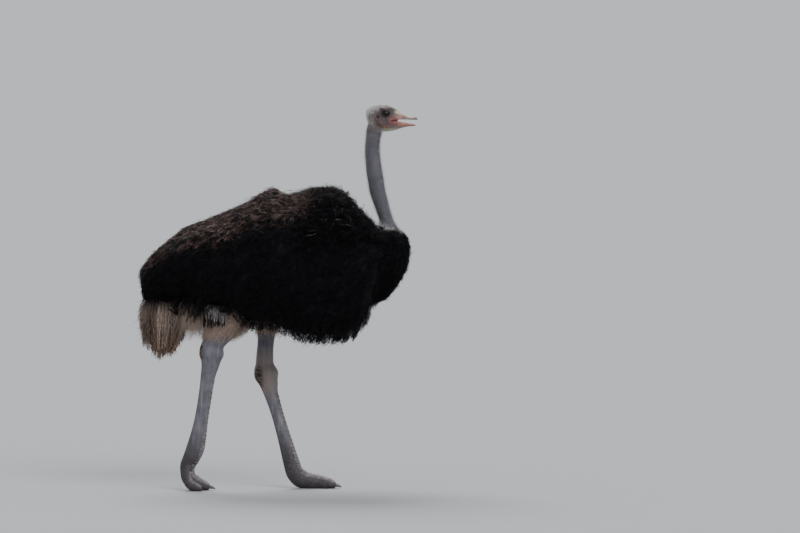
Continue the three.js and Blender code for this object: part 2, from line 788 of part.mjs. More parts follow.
const torsoGrown = torsoShape(GAP);
addPiece("torso", largest(torsoShape(0)), PLUMAGE);
addPiece("tail", largest(tailShape(0).subtract(torsoGrown)), TAIL_PLUMES);

for (const [name, leg] of Object.entries(LEGS)) {
  for (const [key, shape] of Object.entries(legParts(leg, torsoGrown))) {
    addPiece(`${key}_${name}`, shape, LEG_MATERIALS[key]);
  }
}

const drumsticksGrown = Object.values(LEGS).map((leg) => (
  limb(sided(leg.drumstick, leg.side), 12, DRUMSTICK_RINGS, GAP)
));
const besideWings = Manifold.union([torsoGrown, tailShape(GAP), ...drumsticksGrown]);
for (const [name, side] of [["right", RIGHT], ["left", LEFT]]) {
  addPiece(`wing_${name}`, largest(wingShape(side, 0).subtract(besideWings)), PLUMAGE);
  addPiece(`eye_${name}`, eyeball(side, 0), EYE_DARK);
}

const [billEnd, behindBill] = part(headAndNeck().subtract(torsoGrown), BILL_ROOT, [1, 0, 0]);
const crown = (shape) => shape.boundingBox().max[2];
const [billUpper, billLower] = billEnd.decompose().sort((a, b) => crown(b) - crown(a));
const [head, neck] = part(behindBill, HEAD_ROOT, [-0.1, 0, 1]);
const [neckUpper, neckRest] = part(neck, NECK_THIRDS[0], [-0.13, 0, 1]);
const [neckMiddle, neckLower] = part(neckRest, NECK_THIRDS[1], [-0.3, 0, 1]);
addPiece("neck_lower", largest(neckLower), NECK_SKIN);
addPiece("neck_middle", largest(neckMiddle), NECK_SKIN);
addPiece("neck_upper", largest(neckUpper), NECK_SKIN);
addPiece("head", largest(head), NECK_SKIN);
addPiece("bill_upper", billUpper, BILL);
addPiece("bill_lower", billLower, BILL);

export default ostrich;
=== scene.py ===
# %% [markdown]
# # A life-size ostrich, cell by cell
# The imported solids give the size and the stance. Here they are dressed: one smooth skin from bill to
# toes, soft plumes made of thousands of thin strands, and separate eyes, bill, claws and scales.
# Everything is in metres. +X is the way the bird faces, +Y its left and +Z up.

# %% The frame that everything is fitted to
import json

import bmesh
import bpy
import numpy as np
from mathutils import Matrix, Vector, bvhtree, noise

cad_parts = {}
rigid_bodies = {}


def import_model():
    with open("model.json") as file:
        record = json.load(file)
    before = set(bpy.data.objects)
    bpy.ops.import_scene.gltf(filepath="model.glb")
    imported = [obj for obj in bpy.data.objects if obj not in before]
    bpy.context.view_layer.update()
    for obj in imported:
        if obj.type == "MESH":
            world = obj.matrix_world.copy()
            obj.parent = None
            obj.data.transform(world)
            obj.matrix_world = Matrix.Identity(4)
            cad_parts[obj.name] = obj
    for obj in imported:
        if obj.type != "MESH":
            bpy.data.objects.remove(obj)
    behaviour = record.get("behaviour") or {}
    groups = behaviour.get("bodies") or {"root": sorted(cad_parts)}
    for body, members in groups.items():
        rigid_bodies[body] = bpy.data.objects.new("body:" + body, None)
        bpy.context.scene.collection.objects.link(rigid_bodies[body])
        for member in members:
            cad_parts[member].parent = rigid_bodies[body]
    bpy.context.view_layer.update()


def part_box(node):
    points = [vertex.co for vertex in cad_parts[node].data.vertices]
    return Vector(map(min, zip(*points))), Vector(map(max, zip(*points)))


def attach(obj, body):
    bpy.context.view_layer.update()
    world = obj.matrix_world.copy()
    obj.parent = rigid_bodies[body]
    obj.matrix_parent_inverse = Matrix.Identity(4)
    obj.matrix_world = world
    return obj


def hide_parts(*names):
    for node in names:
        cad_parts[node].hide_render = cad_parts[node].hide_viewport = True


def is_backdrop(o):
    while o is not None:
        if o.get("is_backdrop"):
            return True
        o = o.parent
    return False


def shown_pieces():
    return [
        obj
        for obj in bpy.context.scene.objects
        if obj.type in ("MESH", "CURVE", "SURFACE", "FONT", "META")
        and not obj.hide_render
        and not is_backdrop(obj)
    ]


for spare in list(bpy.data.objects):
    bpy.data.objects.remove(spare)
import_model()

# %% [markdown]
# Every long form of the bird is a tube that changes its size on the way. A short table of stops says
# where its middle runs and how deep and wide it is there, and a smooth line through the stops fills
# the rest. The tables are in millimetres, as a maker measures, and MM turns them into metres.

# %% Smooth lines through a few stops
MM = 0.001
LEFTWARD = np.array([0.0, 1.0, 0.0])
DEGREE = np.pi / 180
RIGHT, LEFT = -1, 1
SIDES = {"right": RIGHT, "left": LEFT}


def millimetres(*rows):
    return np.array(rows, float) * MM


def unit(vectors):
    length = np.linalg.norm(vectors, axis=-1, keepdims=True)
    return vectors / np.maximum(length, 1e-12)


def along(stops, place):
    """Values at places on the smooth line through stops, each a place and then its values."""
    keys, values = stops[:, 0], stops[:, 1:]
    x = np.clip(place, keys[0], keys[-1])
    i = np.clip(np.searchsorted(keys, x, side="right") - 1, 0, len(keys) - 2)
    j = i + 1
    before, after = np.maximum(i - 1, 0), np.minimum(i + 2, len(keys) - 1)
    span = keys[j] - keys[i]
    f = ((x - keys[i]) / span)[..., None]
    rise = values[j] - values[i]
    slope_in = (values[j] - values[before]) * (span / (keys[j] - keys[before]))[..., None]
    slope_out = (values[after] - values[i]) * (span / (keys[after] - keys[i]))[..., None]
    square = 3 * rise - 2 * slope_in - slope_out
    cube = slope_in + slope_out - 2 * rise
    return values[i] + f * (slope_in + f * (square + f * cube))


def smooth_step(x, low, high):
    f = np.clip((x - low) / (high - low), 0, 1)
    return f * f * (3 - 2 * f)


def bell(x, middle, width, power=2):
    """1 at the middle, falling smoothly towards 0 past the width."""
    return np.exp(-(((x - middle) / width) ** power))


def limb_point(stops, t, turn, out=0.0):
    """A point of a limb. Stops are x, y, z, half depth and half width; turn 0 is its front."""
    last = len(stops) - 1
    numbered = np.column_stack([np.arange(last + 1), stops])
    at = along(numbered, t * last)
    way = unit(along(numbered, t * last + 0.05)[..., :3] - along(numbered, t * last - 0.05)[..., :3])
    forward = unit(np.cross(way, LEFTWARD))
    across = np.cross(forward, way)
    ahead = np.cos(turn) * (at[..., 3] + out)
    aside = np.sin(turn) * (at[..., 4] + out)
    return at[..., :3] + forward * ahead[..., None] + across * aside[..., None]


# %% [markdown]
# A ball is the easiest closed form to model with: it has no rim to forget. Its rows of corners become
# the rings of a limb and its two poles close the ends, so a neck, a leg or a whole body is a ball that
# one function has moved into place.

# %% Balls that are warped into forms
END_SHARE = 0.03


def warped_ball(around, rings, place):
    """A ball whose corners place(t, turn) moves, t running from one pole to the other."""
    bm = bmesh.new()
    bmesh.ops.create_uvsphere(bm, u_segments=around, v_segments=rings, radius=1)
    corners = np.array([v.co for v in bm.verts])
    t = np.arccos(np.clip(corners[:, 2], -1, 1)) / np.pi
    turn = np.arctan2(corners[:, 1], corners[:, 0])
    for corner, point in zip(bm.verts, place(t, turn)):
        corner.co = point
    bmesh.ops.recalc_face_normals(bm, faces=bm.faces)
    return bm


def limb(stops, around, rings, shape=None, span=(0.0, 1.0)):
    """A closed limb, or a span of it. shape(t, turn) is how far its surface stands off the plain one."""
    def place(t, turn):
        short = 1 - np.clip(np.minimum(t, 1 - t) / END_SHARE, 0, 1)
        t = span[0] + t * (span[1] - span[0])
        centre = limb_point(stops * [1, 1, 1, 0, 0], t, turn)
        skin = limb_point(stops, t, turn, shape(t, turn) if shape else 0.0)
        return centre + (skin - centre) * np.sqrt(1 - short**2)[:, None]
    return warped_ball(around, rings, place)


def oval(middle, half, around=24, rings=16, tilt=0.0):
    """A stretched ball, tilted about Y."""
    bm = bmesh.new()
    bmesh.ops.create_uvsphere(bm, u_segments=around, v_segments=rings, radius=1)
    size = Matrix.Diagonal((*half, 1))
    lean = Matrix.Rotation(tilt, 4, "Y")
    bmesh.ops.transform(bm, matrix=Matrix.Translation(middle) @ lean @ size, verts=bm.verts)
    return bm


def as_object(name, *forms):
    """One object from one or more bmeshes."""
    whole = bmesh.new()
    for form in forms:
        part = bpy.data.meshes.new("part")
        form.to_mesh(part)
        form.free()
        whole.from_mesh(part)
        bpy.data.meshes.remove(part)
    mesh = bpy.data.meshes.new(name)
    whole.to_mesh(mesh)
    whole.free()
    made = bpy.data.objects.new(name, mesh)
    bpy.context.collection.objects.link(made)
    return made


def settle(made):
    """Makes the modifiers' result the object's own mesh."""
    graph = bpy.context.evaluated_depsgraph_get()
    finished = bpy.data.meshes.new_from_object(made.evaluated_get(graph))
    made.modifiers.clear()
    spare, made.data = made.data, finished
    bpy.data.meshes.remove(spare)
    return made


def fuse(made, voxel):
    """Closed forms that lie in one another become one closed surface."""
    remesh = made.modifiers.new("fuse", "REMESH")
    remesh.mode = "VOXEL"
    remesh.voxel_size = voxel
    return settle(made)


def combine(made, other, operation):
    """Unites the object with another one, or cuts the other one out of it."""
    cut = made.modifiers.new("combine", "BOOLEAN")
    cut.operation = operation
    cut.solver = "MANIFOLD"
    cut.object = other
    settle(made)
    bpy.data.objects.remove(other)
    return made


def soften(made, times, where=lambda place: True):
    """Evens the surface out, everywhere or where the test allows."""
    bm = bmesh.new()
    bm.from_mesh(made.data)
    corners = [corner for corner in bm.verts if where(corner.co)]
    all_ways = {"use_axis_x": True, "use_axis_y": True, "use_axis_z": True}
    for _ in range(times):
        bmesh.ops.smooth_vert(bm, verts=corners, factor=0.5, **all_ways)
    bm.to_mesh(made.data)
    bm.free()
    return made


def corners_of(made, what="co"):
    """Where an object's corners lie, or, with "normal", which way they face."""
    values = np.empty(len(made.data.vertices) * 3)
    made.data.vertices.foreach_get(what, values)
    return values.reshape(-1, 3)


def move_corners(made, points):
    made.data.vertices.foreach_set("co", np.ascontiguousarray(points).ravel())
    made.data.update()


def mask(made, name, values):
    """Stores one number from 0 to 1 at each corner, for the materials to read."""
    layer = made.data.attributes.new(name, "FLOAT", "POINT")
    layer.data.foreach_set("value", np.clip(values, 0, 1))


def shade_smooth(made):
    made.data.polygons.foreach_set("use_smooth", [True] * len(made.data.polygons))


def triangles(made):
    made.data.calc_loop_triangles()
    return len(made.data.loop_triangles)


# %% [markdown]
# ## The head
# An ostrich has a flat, wide bill, eyes larger than its brain and only thin bristles on the skin. The
# head starts as overlapping ovals and tubes: skull, brows, cheeks, throat, both jaws and the neck. A
# voxel remesh fuses them, as clay closes over an armature, and the mouth, eye sockets, ears and
# nostrils are then cut, and the cuts softened.

# %% Stops of the neck, the skull and the bill
NECK = millimetres(
    [520, 0, 1110, 44, 42],
    [543, 0, 1175, 45, 42],
    [545, 0, 1232, 39, 36],
    [527, 0, 1281, 31.5, 30],
    [511, 0, 1330, 31.5, 30],
    [496, 0, 1379, 34.5, 31],
    [481, 0, 1428, 36.5, 32],
    [473, 0, 1477, 37.5, 32],
    [465, 0, 1526, 37.5, 32],
    [459, 0, 1575, 36, 31],
    [455, 0, 1624, 35.5, 30],
    [458, 0, 1680, 34.5, 30],
    [466, 0, 1730, 36.5, 32],
    [478, 0, 1775, 30, 28],
)
SKULL = millimetres(
    [434, 0, 1774, 6, 6],
    [440, 0, 1775, 34, 24],
    [458, 0, 1778, 51, 35],
    [484, 0, 1780, 59, 41],
    [510, 0, 1781, 60, 43.5],
    [535, 0, 1779, 57.5, 42],
    [560, 0, 1775, 51, 36],
    [582, 0, 1771, 41, 29.5],
    [600, 0, 1769, 30, 25],
    [612, 0, 1767, 20, 20],
)
BILL_ABOVE = millimetres(
    [585, 0, 1783, 25, 26],
    [600, 0, 1782.5, 19, 24.5],
    [615, 0, 1781.5, 13.5, 22.8],
    [632, 0, 1780.5, 9.8, 21],
    [650, 0, 1780.5, 9.4, 18.5],
    [660, 0, 1780, 8.8, 14.5],
    [667, 0, 1778, 6, 9],
    [671, 0, 1775.5, 2.5, 4],
)
BILL_BELOW = millimetres(
    [575, 0, 1752, 22, 28],
    [592, 0, 1752, 18, 25],
    [610, 0, 1752, 13, 22],
    [630, 0, 1751.5, 9, 19],
    [648, 0, 1750.5, 6, 15.5],
    [657, 0, 1750, 4.5, 11.5],
    [663.5, 0, 1749.5, 2.2, 5],
)
MOUTH = millimetres(
    [532, 1770.6, 1771.4],
    [548, 1769.8, 1772.2],
    [562, 1768.6, 1773.4],
    [588, 1764.6, 1775.8],
    [612, 1760.6, 1776.6],
    [640, 1756, 1775.6],
    [700, 1748, 1773.6],
)
MOUTH_HALF_WIDTH = 0.06
BILL_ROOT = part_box("bill_upper")[0][0]
EYE_LOW, EYE_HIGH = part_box("eye_left")
EYE = (np.array(EYE_LOW) + np.array(EYE_HIGH)) / 2
EYE_RADIUS = (EYE_HIGH[0] - EYE_LOW[0]) / 2
EYE_OPENING = (0.0185, 0.0138)
LID = 0.0032
EAR = np.array([480, 39, 1784]) * MM
NOSTRIL = np.array([607, 19, 1787.5]) * MM
print("bill starts at", round(BILL_ROOT, 4), "eye radius", round(EYE_RADIUS, 4))


def to_side(point, side):
    return Vector((point[0], point[1] * side, point[2]))


def mouth_wedge(end=MOUTH[-1, 0], half_width=MOUTH_HALF_WIDTH, narrower=0.0, spare=0.0):
    """The space between the jaws, as a solid: to cut with, or to web the corners of the mouth."""
    bm = bmesh.new()
    bmesh.ops.create_grid(bm, x_segments=24, y_segments=1, size=0.5)
    swept = bmesh.ops.extrude_face_region(bm, geom=list(bm.faces))
    top = [item for item in swept["geom"] if isinstance(item, bmesh.types.BMVert)]
    bmesh.ops.translate(bm, verts=top, vec=(0, 0, 1))
    for corner in bm.verts:
        ahead = (corner.co.x + 0.5) * (end - MOUTH[0, 0])
        low, high = along(MOUTH, np.array(MOUTH[0, 0] + ahead))
        y = corner.co.y * 2 * (half_width - narrower * ahead)
        corner.co = (MOUTH[0, 0] + ahead, y, high + spare if corner.co.z > 0.5 else low - spare)
    bmesh.ops.recalc_face_normals(bm, faces=bm.faces)
    return as_object("mouth wedge", bm)


def eye_opening(side):
    """The almond between the lids, as a solid to cut with."""
    long, high = EYE_OPENING
    bm = bmesh.new()
    bmesh.ops.create_cone(bm, cap_ends=True, segments=32, radius1=1, radius2=1, depth=1)
    for corner in bm.verts:
        x, y, z = corner.co
        lift = high * y * (1 - 0.12 * x) - 0.06 * x * long
        corner.co = (EYE[0] + 0.001 + x * long, side * (EYE[1] + 0.03 + z * 0.04), EYE[2] + lift)
    bmesh.ops.recalc_face_normals(bm, faces=bm.faces)
    return as_object("eye opening", bm)


# %% Modelling the head
HEAD_VOXEL = 0.0016
WEB = {"end": 0.577, "half_width": 0.0355, "narrower": 0.2, "spare": 0.002}  # at the corners of the mouth
STUB = (10.2 / 13, 1.0)
JAW = millimetres(
    [486, 0, 1748, 12, 20],
    [510, 0, 1745, 17, 30],
    [540, 0, 1744, 18, 30],
    [570, 0, 1747, 15, 27],
    [596, 0, 1750, 11.5, 24],
    [606, 0, 1751, 8, 20],
)


# Ovals on each side of the face: middle, half size and tilt.
FACE_OVALS = {
    "brow": ((0.521, 0.036, 1.8268), (0.026, 0.009, 0.0062), 0.1),
    "cheek": ((0.505, 0.031, 1.762), (0.03, 0.013, 0.018), -0.2),
    "ear": ((0.474, 0.027, 1.782), (0.022, 0.0135, 0.028), 0.2),
    "lore": ((0.560, 0.025, 1.786), (0.024, 0.012, 0.008), 0.28),
    "lip": ((0.556, 0.026, 1.7585), (0.026, 0.0085, 0.0065), 0.02),
}


def head_forms():
    forms = [
        limb(NECK, 40, 40, span=STUB),
        limb(SKULL, 48, 60),
        limb(BILL_ABOVE, 40, 30),
        limb(BILL_BELOW, 40, 30),
        limb(JAW, 32, 24),
        oval((0.484, 0, 1.806), (0.046, 0.037, 0.028)),
    ]
    for side in SIDES.values():
        over = EYE_RADIUS + LID
        forms.append(oval(to_side(EYE, side), (over + 0.0012, over, over), 40, 28))
        for middle, half, tilt in FACE_OVALS.values():
            forms.append(oval(to_side(middle, side), half, tilt=tilt))
    return forms


head = fuse(as_object("head", *head_forms()), HEAD_VOXEL)
combine(head, mouth_wedge(), "DIFFERENCE")
combine(head, mouth_wedge(**WEB), "UNION")
for side in SIDES.values():
    socket = EYE_RADIUS + 0.0004
    combine(head, as_object("socket", oval(to_side(EYE, side), [socket] * 3, 40, 28)), "DIFFERENCE")
    combine(head, eye_opening(side), "DIFFERENCE")
    combine(head, as_object("ear", oval(to_side(EAR, side), (0.0062, 0.009, 0.0085))), "DIFFERENCE")
for side in SIDES.values():
    combine(head, as_object("nostril", oval(to_side(NOSTRIL, side), (0.007, 0.005, 0.0017))), "DIFFERENCE")


def cut_at(made, x, keep_front):
    """Keeps what lies in front of x, or behind it, with the cut closed."""
    bm = bmesh.new()
    bm.from_mesh(made.data)
    everything = list(bm.verts) + list(bm.edges) + list(bm.faces)
    cleared = {"clear_inner": keep_front, "clear_outer": not keep_front}
    cut = bmesh.ops.bisect_plane(bm, geom=everything, plane_co=(x, 0, 0), plane_no=(1, 0, 0), **cleared)
    rim = [item for item in cut["geom_cut"] if isinstance(item, bmesh.types.BMEdge)]
    bmesh.ops.triangle_fill(bm, edges=rim, use_beauty=True)
    bmesh.ops.recalc_face_normals(bm, faces=bm.faces)
    bm.to_mesh(made.data)
    bm.free()
    return made


fuse(head, HEAD_VOXEL)
soften(head, 3)
cut_at(head, BILL_ROOT + 0.002, keep_front=False)
print("head", triangles(head), "triangles")

# %% [markdown]
# ## The bill
# Horn grows over the jaw bones in two sheaths with a thick nail at each tip. Each is the same tube that
# the jaw is made from, cut flat by the mouth's own wedge, so the two halves always meet their gape.

# %% Upper and lower bill
BILL_VOXEL = 0.0009
NAIL = ((0.658, 0, 1.7815), (0.0125, 0.0135, 0.0075))


def bill(name, stops, extra):
    made = fuse(as_object(name, limb(stops, 48, 60), *extra), BILL_VOXEL)
    combine(made, mouth_wedge(), "DIFFERENCE")
    for side in SIDES.values():
        hole = as_object("nostril", oval(to_side(NOSTRIL, side), (0.008, 0.0045, 0.0017), tilt=0.08))
        combine(made, hole, "DIFFERENCE")
    cut_at(made, BILL_ROOT - 0.001, keep_front=True)
    fuse(made, BILL_VOXEL)
    soften(made, 2)
    return made


ridge = oval((0.622, 0, 1.7885), (0.036, 0.0065, 0.0035), tilt=0.17)
bill_upper = bill("bill_upper_horn", BILL_ABOVE, [ridge, oval(*NAIL)])
bill_lower = bill("bill_lower_horn", BILL_BELOW, [oval((0.652, 0, 1.7475), (0.01, 0.011, 0.0032))])
print("bill", triangles(bill_upper), triangles(bill_lower))

# %% [markdown]
# ## The trunk, the legs and one skin over all
# The trunk is a warped ball under the plumes. Each leg is one tube from the thigh over the ankle and
# the long shank to the end of the big toe, so that no seam crosses it. The Manifold solver then unites
# trunk, legs, small toes, neck and head into one closed skin.

# %% Stops of the body and the legs
BODY_BACK, BODY_FRONT = -0.600, 0.592
BODY_MIDDLE, BODY_HALF = (BODY_BACK + BODY_FRONT) / 2, (BODY_FRONT - BODY_BACK) / 2
BODY_LINE = millimetres(
    [-600, 985, 214, 226],
    [-430, 1035, 214, 228],
    [-280, 1060, 230, 236],
    [-100, 1090, 247, 240],
    [100, 1099, 258, 240],
    [275, 1098, 268, 244],
    [400, 1097, 268, 242],
    [500, 1112, 266, 240],
    [592, 1158, 262, 236],
)
LEGS = {
    "right": {
        "side": RIGHT,
        "ankle": 6,
        "hem": 0.755,
        "knuckle": 13,
        "leg": millimetres(
            [70, 138, 1030, 60, 55],
            [10, 138, 1010, 100, 76],
            [-110, 138, 945, 122, 82],
            [-205, 132, 860, 112, 74],
            [-268, 126, 780, 84, 58],
            [-300, 121, 712, 56, 43],
            [-312, 117, 655, 54, 43],
            [-318, 114, 605, 43, 34],
            [-330, 109, 540, 33, 25],
            [-345, 104, 440, 30, 22],
            [-362, 98, 340, 31, 22],
            [-377, 92, 260, 37, 26],
            [-391, 88, 205, 42, 33],
            [-410, 84, 160, 40, 33],
            [-431, 81, 112, 35, 30],
            [-424, 78, 62, 34, 29],
            [-392, 74, 34, 36, 29],
            [-362, 71, 24, 28, 26],
            [-336, 69, 17, 20, 20],
            [-323, 68, 14, 10, 13],
        ),
        "small": millimetres(
            [-412, 95, 132, 18, 14],
            [-432, 107, 88, 21, 17],
            [-424, 116, 42, 22, 18],
            [-398, 124, 21, 23, 18],
            [-372, 131, 13, 16, 15],
            [-357, 135, 10, 8, 9],
        ),
        "claw": millimetres(
            [-338, 69, 18, 9, 12], [-322, 68, 16, 9, 11], [-308, 67, 12, 6, 7.5], [-296, 66, 6.5, 2, 2.5]
        ),
    },
    "left": {
        "side": LEFT,
        "ankle": 7,
        "hem": 0.775,
        "knuckle": 14,
        "leg": millimetres(
            [40, 140, 1070, 60, 55],
            [25, 140, 1020, 104, 76],
            [-8, 140, 950, 112, 80],
            [-35, 138, 860, 86, 66],
            [-54, 135, 770, 55, 48],
            [-62, 133, 690, 42, 37],
            [-66, 130, 610, 43, 37],
            [-58, 127, 548, 54, 42],
            [-46, 122, 500, 45, 35],
            [-33, 114, 450, 33, 26],
            [-8, 101, 370, 28, 23],
            [19, 86, 280, 29, 22],
            [44, 71, 195, 33, 24],
            [64, 60, 125, 38, 30],
            [80, 52, 76, 41, 33],
            [112, 50, 45, 44, 35],
            [152, 48, 35, 38, 34],
            [196, 46, 30, 34, 31],
            [236, 44, 24, 28, 28],
            [266, 43, 17, 20, 21],
            [281, 42, 14, 10, 13],
        ),
        "small": millimetres(
            [86, 66, 66, 18, 14],
            [108, 78, 42, 25, 19],
            [142, 92, 27, 29, 20],
            [176, 104, 20, 24, 18],
            [204, 112, 13, 16, 14],
            [219, 116, 10, 8, 9],
        ),
        "claw": millimetres(
            [264, 43, 18, 9, 12], [280, 42, 16, 9, 11], [295, 41, 12, 6, 7.5], [308, 40, 6.5, 2, 2.5]
        ),
    },
}


def body_point(x, turn, out):
    """A point off the trunk at x, turned from its top towards the left."""
    share = np.clip((x - BODY_MIDDLE) / BODY_HALF, -1, 1)
    around = np.sqrt(1 - share**2)
    z, high, wide = np.moveaxis(along(BODY_LINE, x), -1, 0)
    push = np.maximum(around, 0.35) * out
    y = np.sin(turn) * (wide * around + push)
    return np.stack([x + out * share * (1 - around), y, z + np.cos(turn) * (high * around + push)], -1)


def on_side(stops, side):
    return stops * [1, side, 1, 1, 1]


# %% Modelling trunk and legs
SKIN_DEPTH = 0.004
THIGH_DOWN = 0.006


def trunk_form():
    def place(t, turn):
        x = BODY_MIDDLE + BODY_HALF * np.cos(t * np.pi)
        return body_point(x, turn, -SKIN_DEPTH)
    return warped_ball(72, 48, place)


def leg_relief(leg):
    """Thigh skin under its down, the ankle's knobs, the shank's hollow sides and the toe's joints."""
    def shape(t, turn):
        s = t * (len(leg["leg"]) - 1)
        ankle, knuckle = leg["ankle"], leg["knuckle"]
        front, aside = np.cos(turn), np.abs(np.sin(turn))
        thigh = -THIGH_DOWN * (1 - smooth_step(s, ankle - 3, ankle - 1.2))
        joint = bell(s, ankle, 0.45)
        above = bell(s, ankle - 0.75, 0.3)
        knobs = 0.004 * joint * np.maximum(front, 0) ** 2 + 0.0025 * joint * aside**3
        hollow = -0.0032 * above * aside**4 - 0.002 * above * np.maximum(front, 0)
        shank = smooth_step(s, ankle + 1, ankle + 2) * (1 - smooth_step(s, knuckle - 2, knuckle))
        groove = -0.0028 * shank * bell(np.abs(turn), 2.05, 0.34)
        tendon = 0.0025 * shank * bell(np.abs(turn), np.pi, 0.4)
        toe_joint = 0.0025 * bell(s, knuckle, 0.5) * aside
        rear = np.maximum(-front - 0.2, 0) * 1.25
        callus = rear * bell(s, ankle - 0.1, 0.62, 4) * (0.0055 + 0.0014 * np.sin(s * 38))
        pads = 0.0016 * np.sin((s - knuckle) * 3.7) * smooth_step(s, knuckle + 0.5, knuckle + 1.5)
        pads = pads * np.maximum(-front, 0.25)
        return thigh + knobs + hollow + groove + tendon + toe_joint + callus + pads
    return shape


def grounded(made):
    """Nothing reaches below the floor, and what touches it is flat."""
    points = corners_of(made)
    points[:, 2] = np.maximum(points[:, 2], 0.0)
    move_corners(made, points)
    return made


def neck_relief(t, turn):
    """Keeps the neck's tube just inside the head where the two join."""
    return -0.0014 * smooth_step(t, 0.77, 0.80)


skin = as_object("skin", trunk_form())
tail_core = oval((-0.548, 0, 0.930), (0.072, 0.086, 0.086), 32, 24)
combine(skin, as_object("tail core", tail_core), "UNION")
for name, leg in LEGS.items():
    stops = on_side(leg["leg"], leg["side"])
    limb_made = grounded(as_object("leg", limb(stops, 40, 300, leg_relief(leg))))
    small = grounded(as_object("small toe", limb(on_side(leg["small"], leg["side"]), 28, 60)))
    combine(limb_made, small, "UNION")
    combine(skin, limb_made, "UNION")
neck = as_object("neck", limb(NECK, 56, 170, neck_relief, (0.0, 11.2 / 13)))
combine(head, neck, "UNION")
soften(head, 6, where=lambda co: 1.60 < co.z < 1.70 and co.x < 0.52)
combine(skin, head, "UNION")
soften(skin, 6, where=lambda co: 0.86 < co.z < 1.06 and co.x < 0.2)
print("skin", triangles(skin), "triangles")

# %% [markdown]
# ## Strands and plumes
# Ostrich feathers have no hooks between their barbs, so they don't lie as a closed blade: each is a
# thin shaft with loose, drooping barbs. A strand is a slender three-sided spindle. A plume is a shaft
# and a few dozen strands, modelled flat once in several variants, then bent along a path of its own
# wherever it grows. Doing that bending with whole arrays keeps the script fast.

# %% One strand, swept along a bent line
def spindle(bends):
    """A thin three-sided spindle: level along it, place across it, and its triangles."""
    bm = bmesh.new()
    bmesh.ops.create_uvsphere(bm, u_segments=3, v_segments=bends + 1, radius=1)
    bmesh.ops.triangulate(bm, faces=bm.faces)
    bm.verts.index_update()
    corners = np.array([v.co for v in bm.verts])
    faces = np.array([[v.index for v in face.verts] for face in bm.faces])
    bm.free()
    level = np.arccos(np.clip(corners[:, 2], -1, 1)) / np.pi
    ring = np.hypot(corners[:, 0], corners[:, 1])
    across = corners[:, :2] / np.maximum(ring, 1e-6)[:, None] * (ring > 1e-4)[:, None]
    return level, across * np.interp(level, [0, 0.34, 0.67, 1], [1, 1, 0.72, 0])[:, None], faces


SPINDLES = {points: spindle(points - 2) for points in (3, 4)}
SPINDLE_SPOTS = {
    points: np.stack([0.5 + 0.4 * across[:, 0], 0.1 + 0.8 * level + 0.08 * across[:, 1]], -1)
    for points, (level, across, _) in SPINDLES.items()
}


def strands(curves, flat, width, thick):
    """Strands along lines of three or four points each: corners, faces. flat is their broad way."""
    level, across, faces = SPINDLES[curves.shape[1]]
    step = np.rint(level * (curves.shape[1] - 1)).astype(int)
    way = unit(curves[:, -1] - curves[:, 0])
    flat = unit(flat - way * np.sum(flat * way, axis=1, keepdims=True))
    above = np.cross(flat, way)
    points = curves[:, step] + flat[:, None] * (across[:, 0] * width[:, None])[..., None]
    points = points + above[:, None] * (across[:, 1] * thick[:, None])[..., None]
    first = np.arange(len(curves))[:, None, None] * len(level)
    return points.reshape(-1, 3), (first + faces).reshape(-1, 3), np.tile(level, len(curves))


# %% A plume, laid flat
PLUME_TIMES = np.linspace(0, 1.2, 9)  # where along a plume its path is measured
BARB_THICK = 0.0006


def plume(seed, length, half_width, barbs, start_angle, end_angle, curl, barb_width=0.0015):
    """A flat plume along +Y: corners, faces, how far each corner is along its own barb, and its size."""
    rng = np.random.default_rng(seed)
    place = np.linspace(0.08, 0.99, barbs) + rng.uniform(-0.012, 0.012, barbs)
    side = np.where(np.arange(barbs) % 2, 1.0, -1.0)
    full = np.interp(place, [0.08, 0.35, 0.75, 1.0], [0.7, 1.0, 0.92, 0.5])
    long = half_width * 1.25 * full * rng.uniform(0.75, 1.25, barbs)
    start = np.interp(place, [0.1, 1.0], [start_angle, 0.5 * start_angle]) * DEGREE
    bend = np.interp(place, [0.1, 1.0], [end_angle, 0.2 * end_angle]) * DEGREE
    bend = bend + rng.normal(0, 0.35, barbs) * curl
    root = np.stack([np.zeros(barbs), place * length, np.full(barbs, 0.0005)], -1)
    lift = rng.uniform(-0.1, 0.4, barbs)
    fall = rng.normal(-0.1, 0.4, barbs) * curl
    middle = root + long[:, None] * 0.52 * np.stack([side * np.sin(start), np.cos(start), lift], -1)
    tip = middle + long[:, None] * 0.55 * np.stack([side * np.sin(bend), np.cos(bend), fall], -1)
    shaft = np.array([[[0, 0, 0], [0, 0.5 * length, 0.001], [0, 1.04 * length, 0]]])
    curves = np.concatenate([np.stack([root, middle, tip], 1), shaft])
    width = np.append(np.full(barbs, barb_width) * rng.uniform(0.8, 1.25, barbs), 0.0012)
    thick = np.append(np.full(barbs, BARB_THICK), 0.0011)
    flat = np.tile([1.0, 0.0, 0.0], (barbs + 1, 1))
    flat[:-1] += np.stack([np.zeros(barbs), -side, np.zeros(barbs)], -1) * 0.8
    points, faces, level = strands(curves, flat, width, thick)
    return points, faces, level, length, half_width


# %% Bending plumes along their paths
PATCH = 0.003  # size of one tuft's patch on the map of its piece
DROOP = 0.006


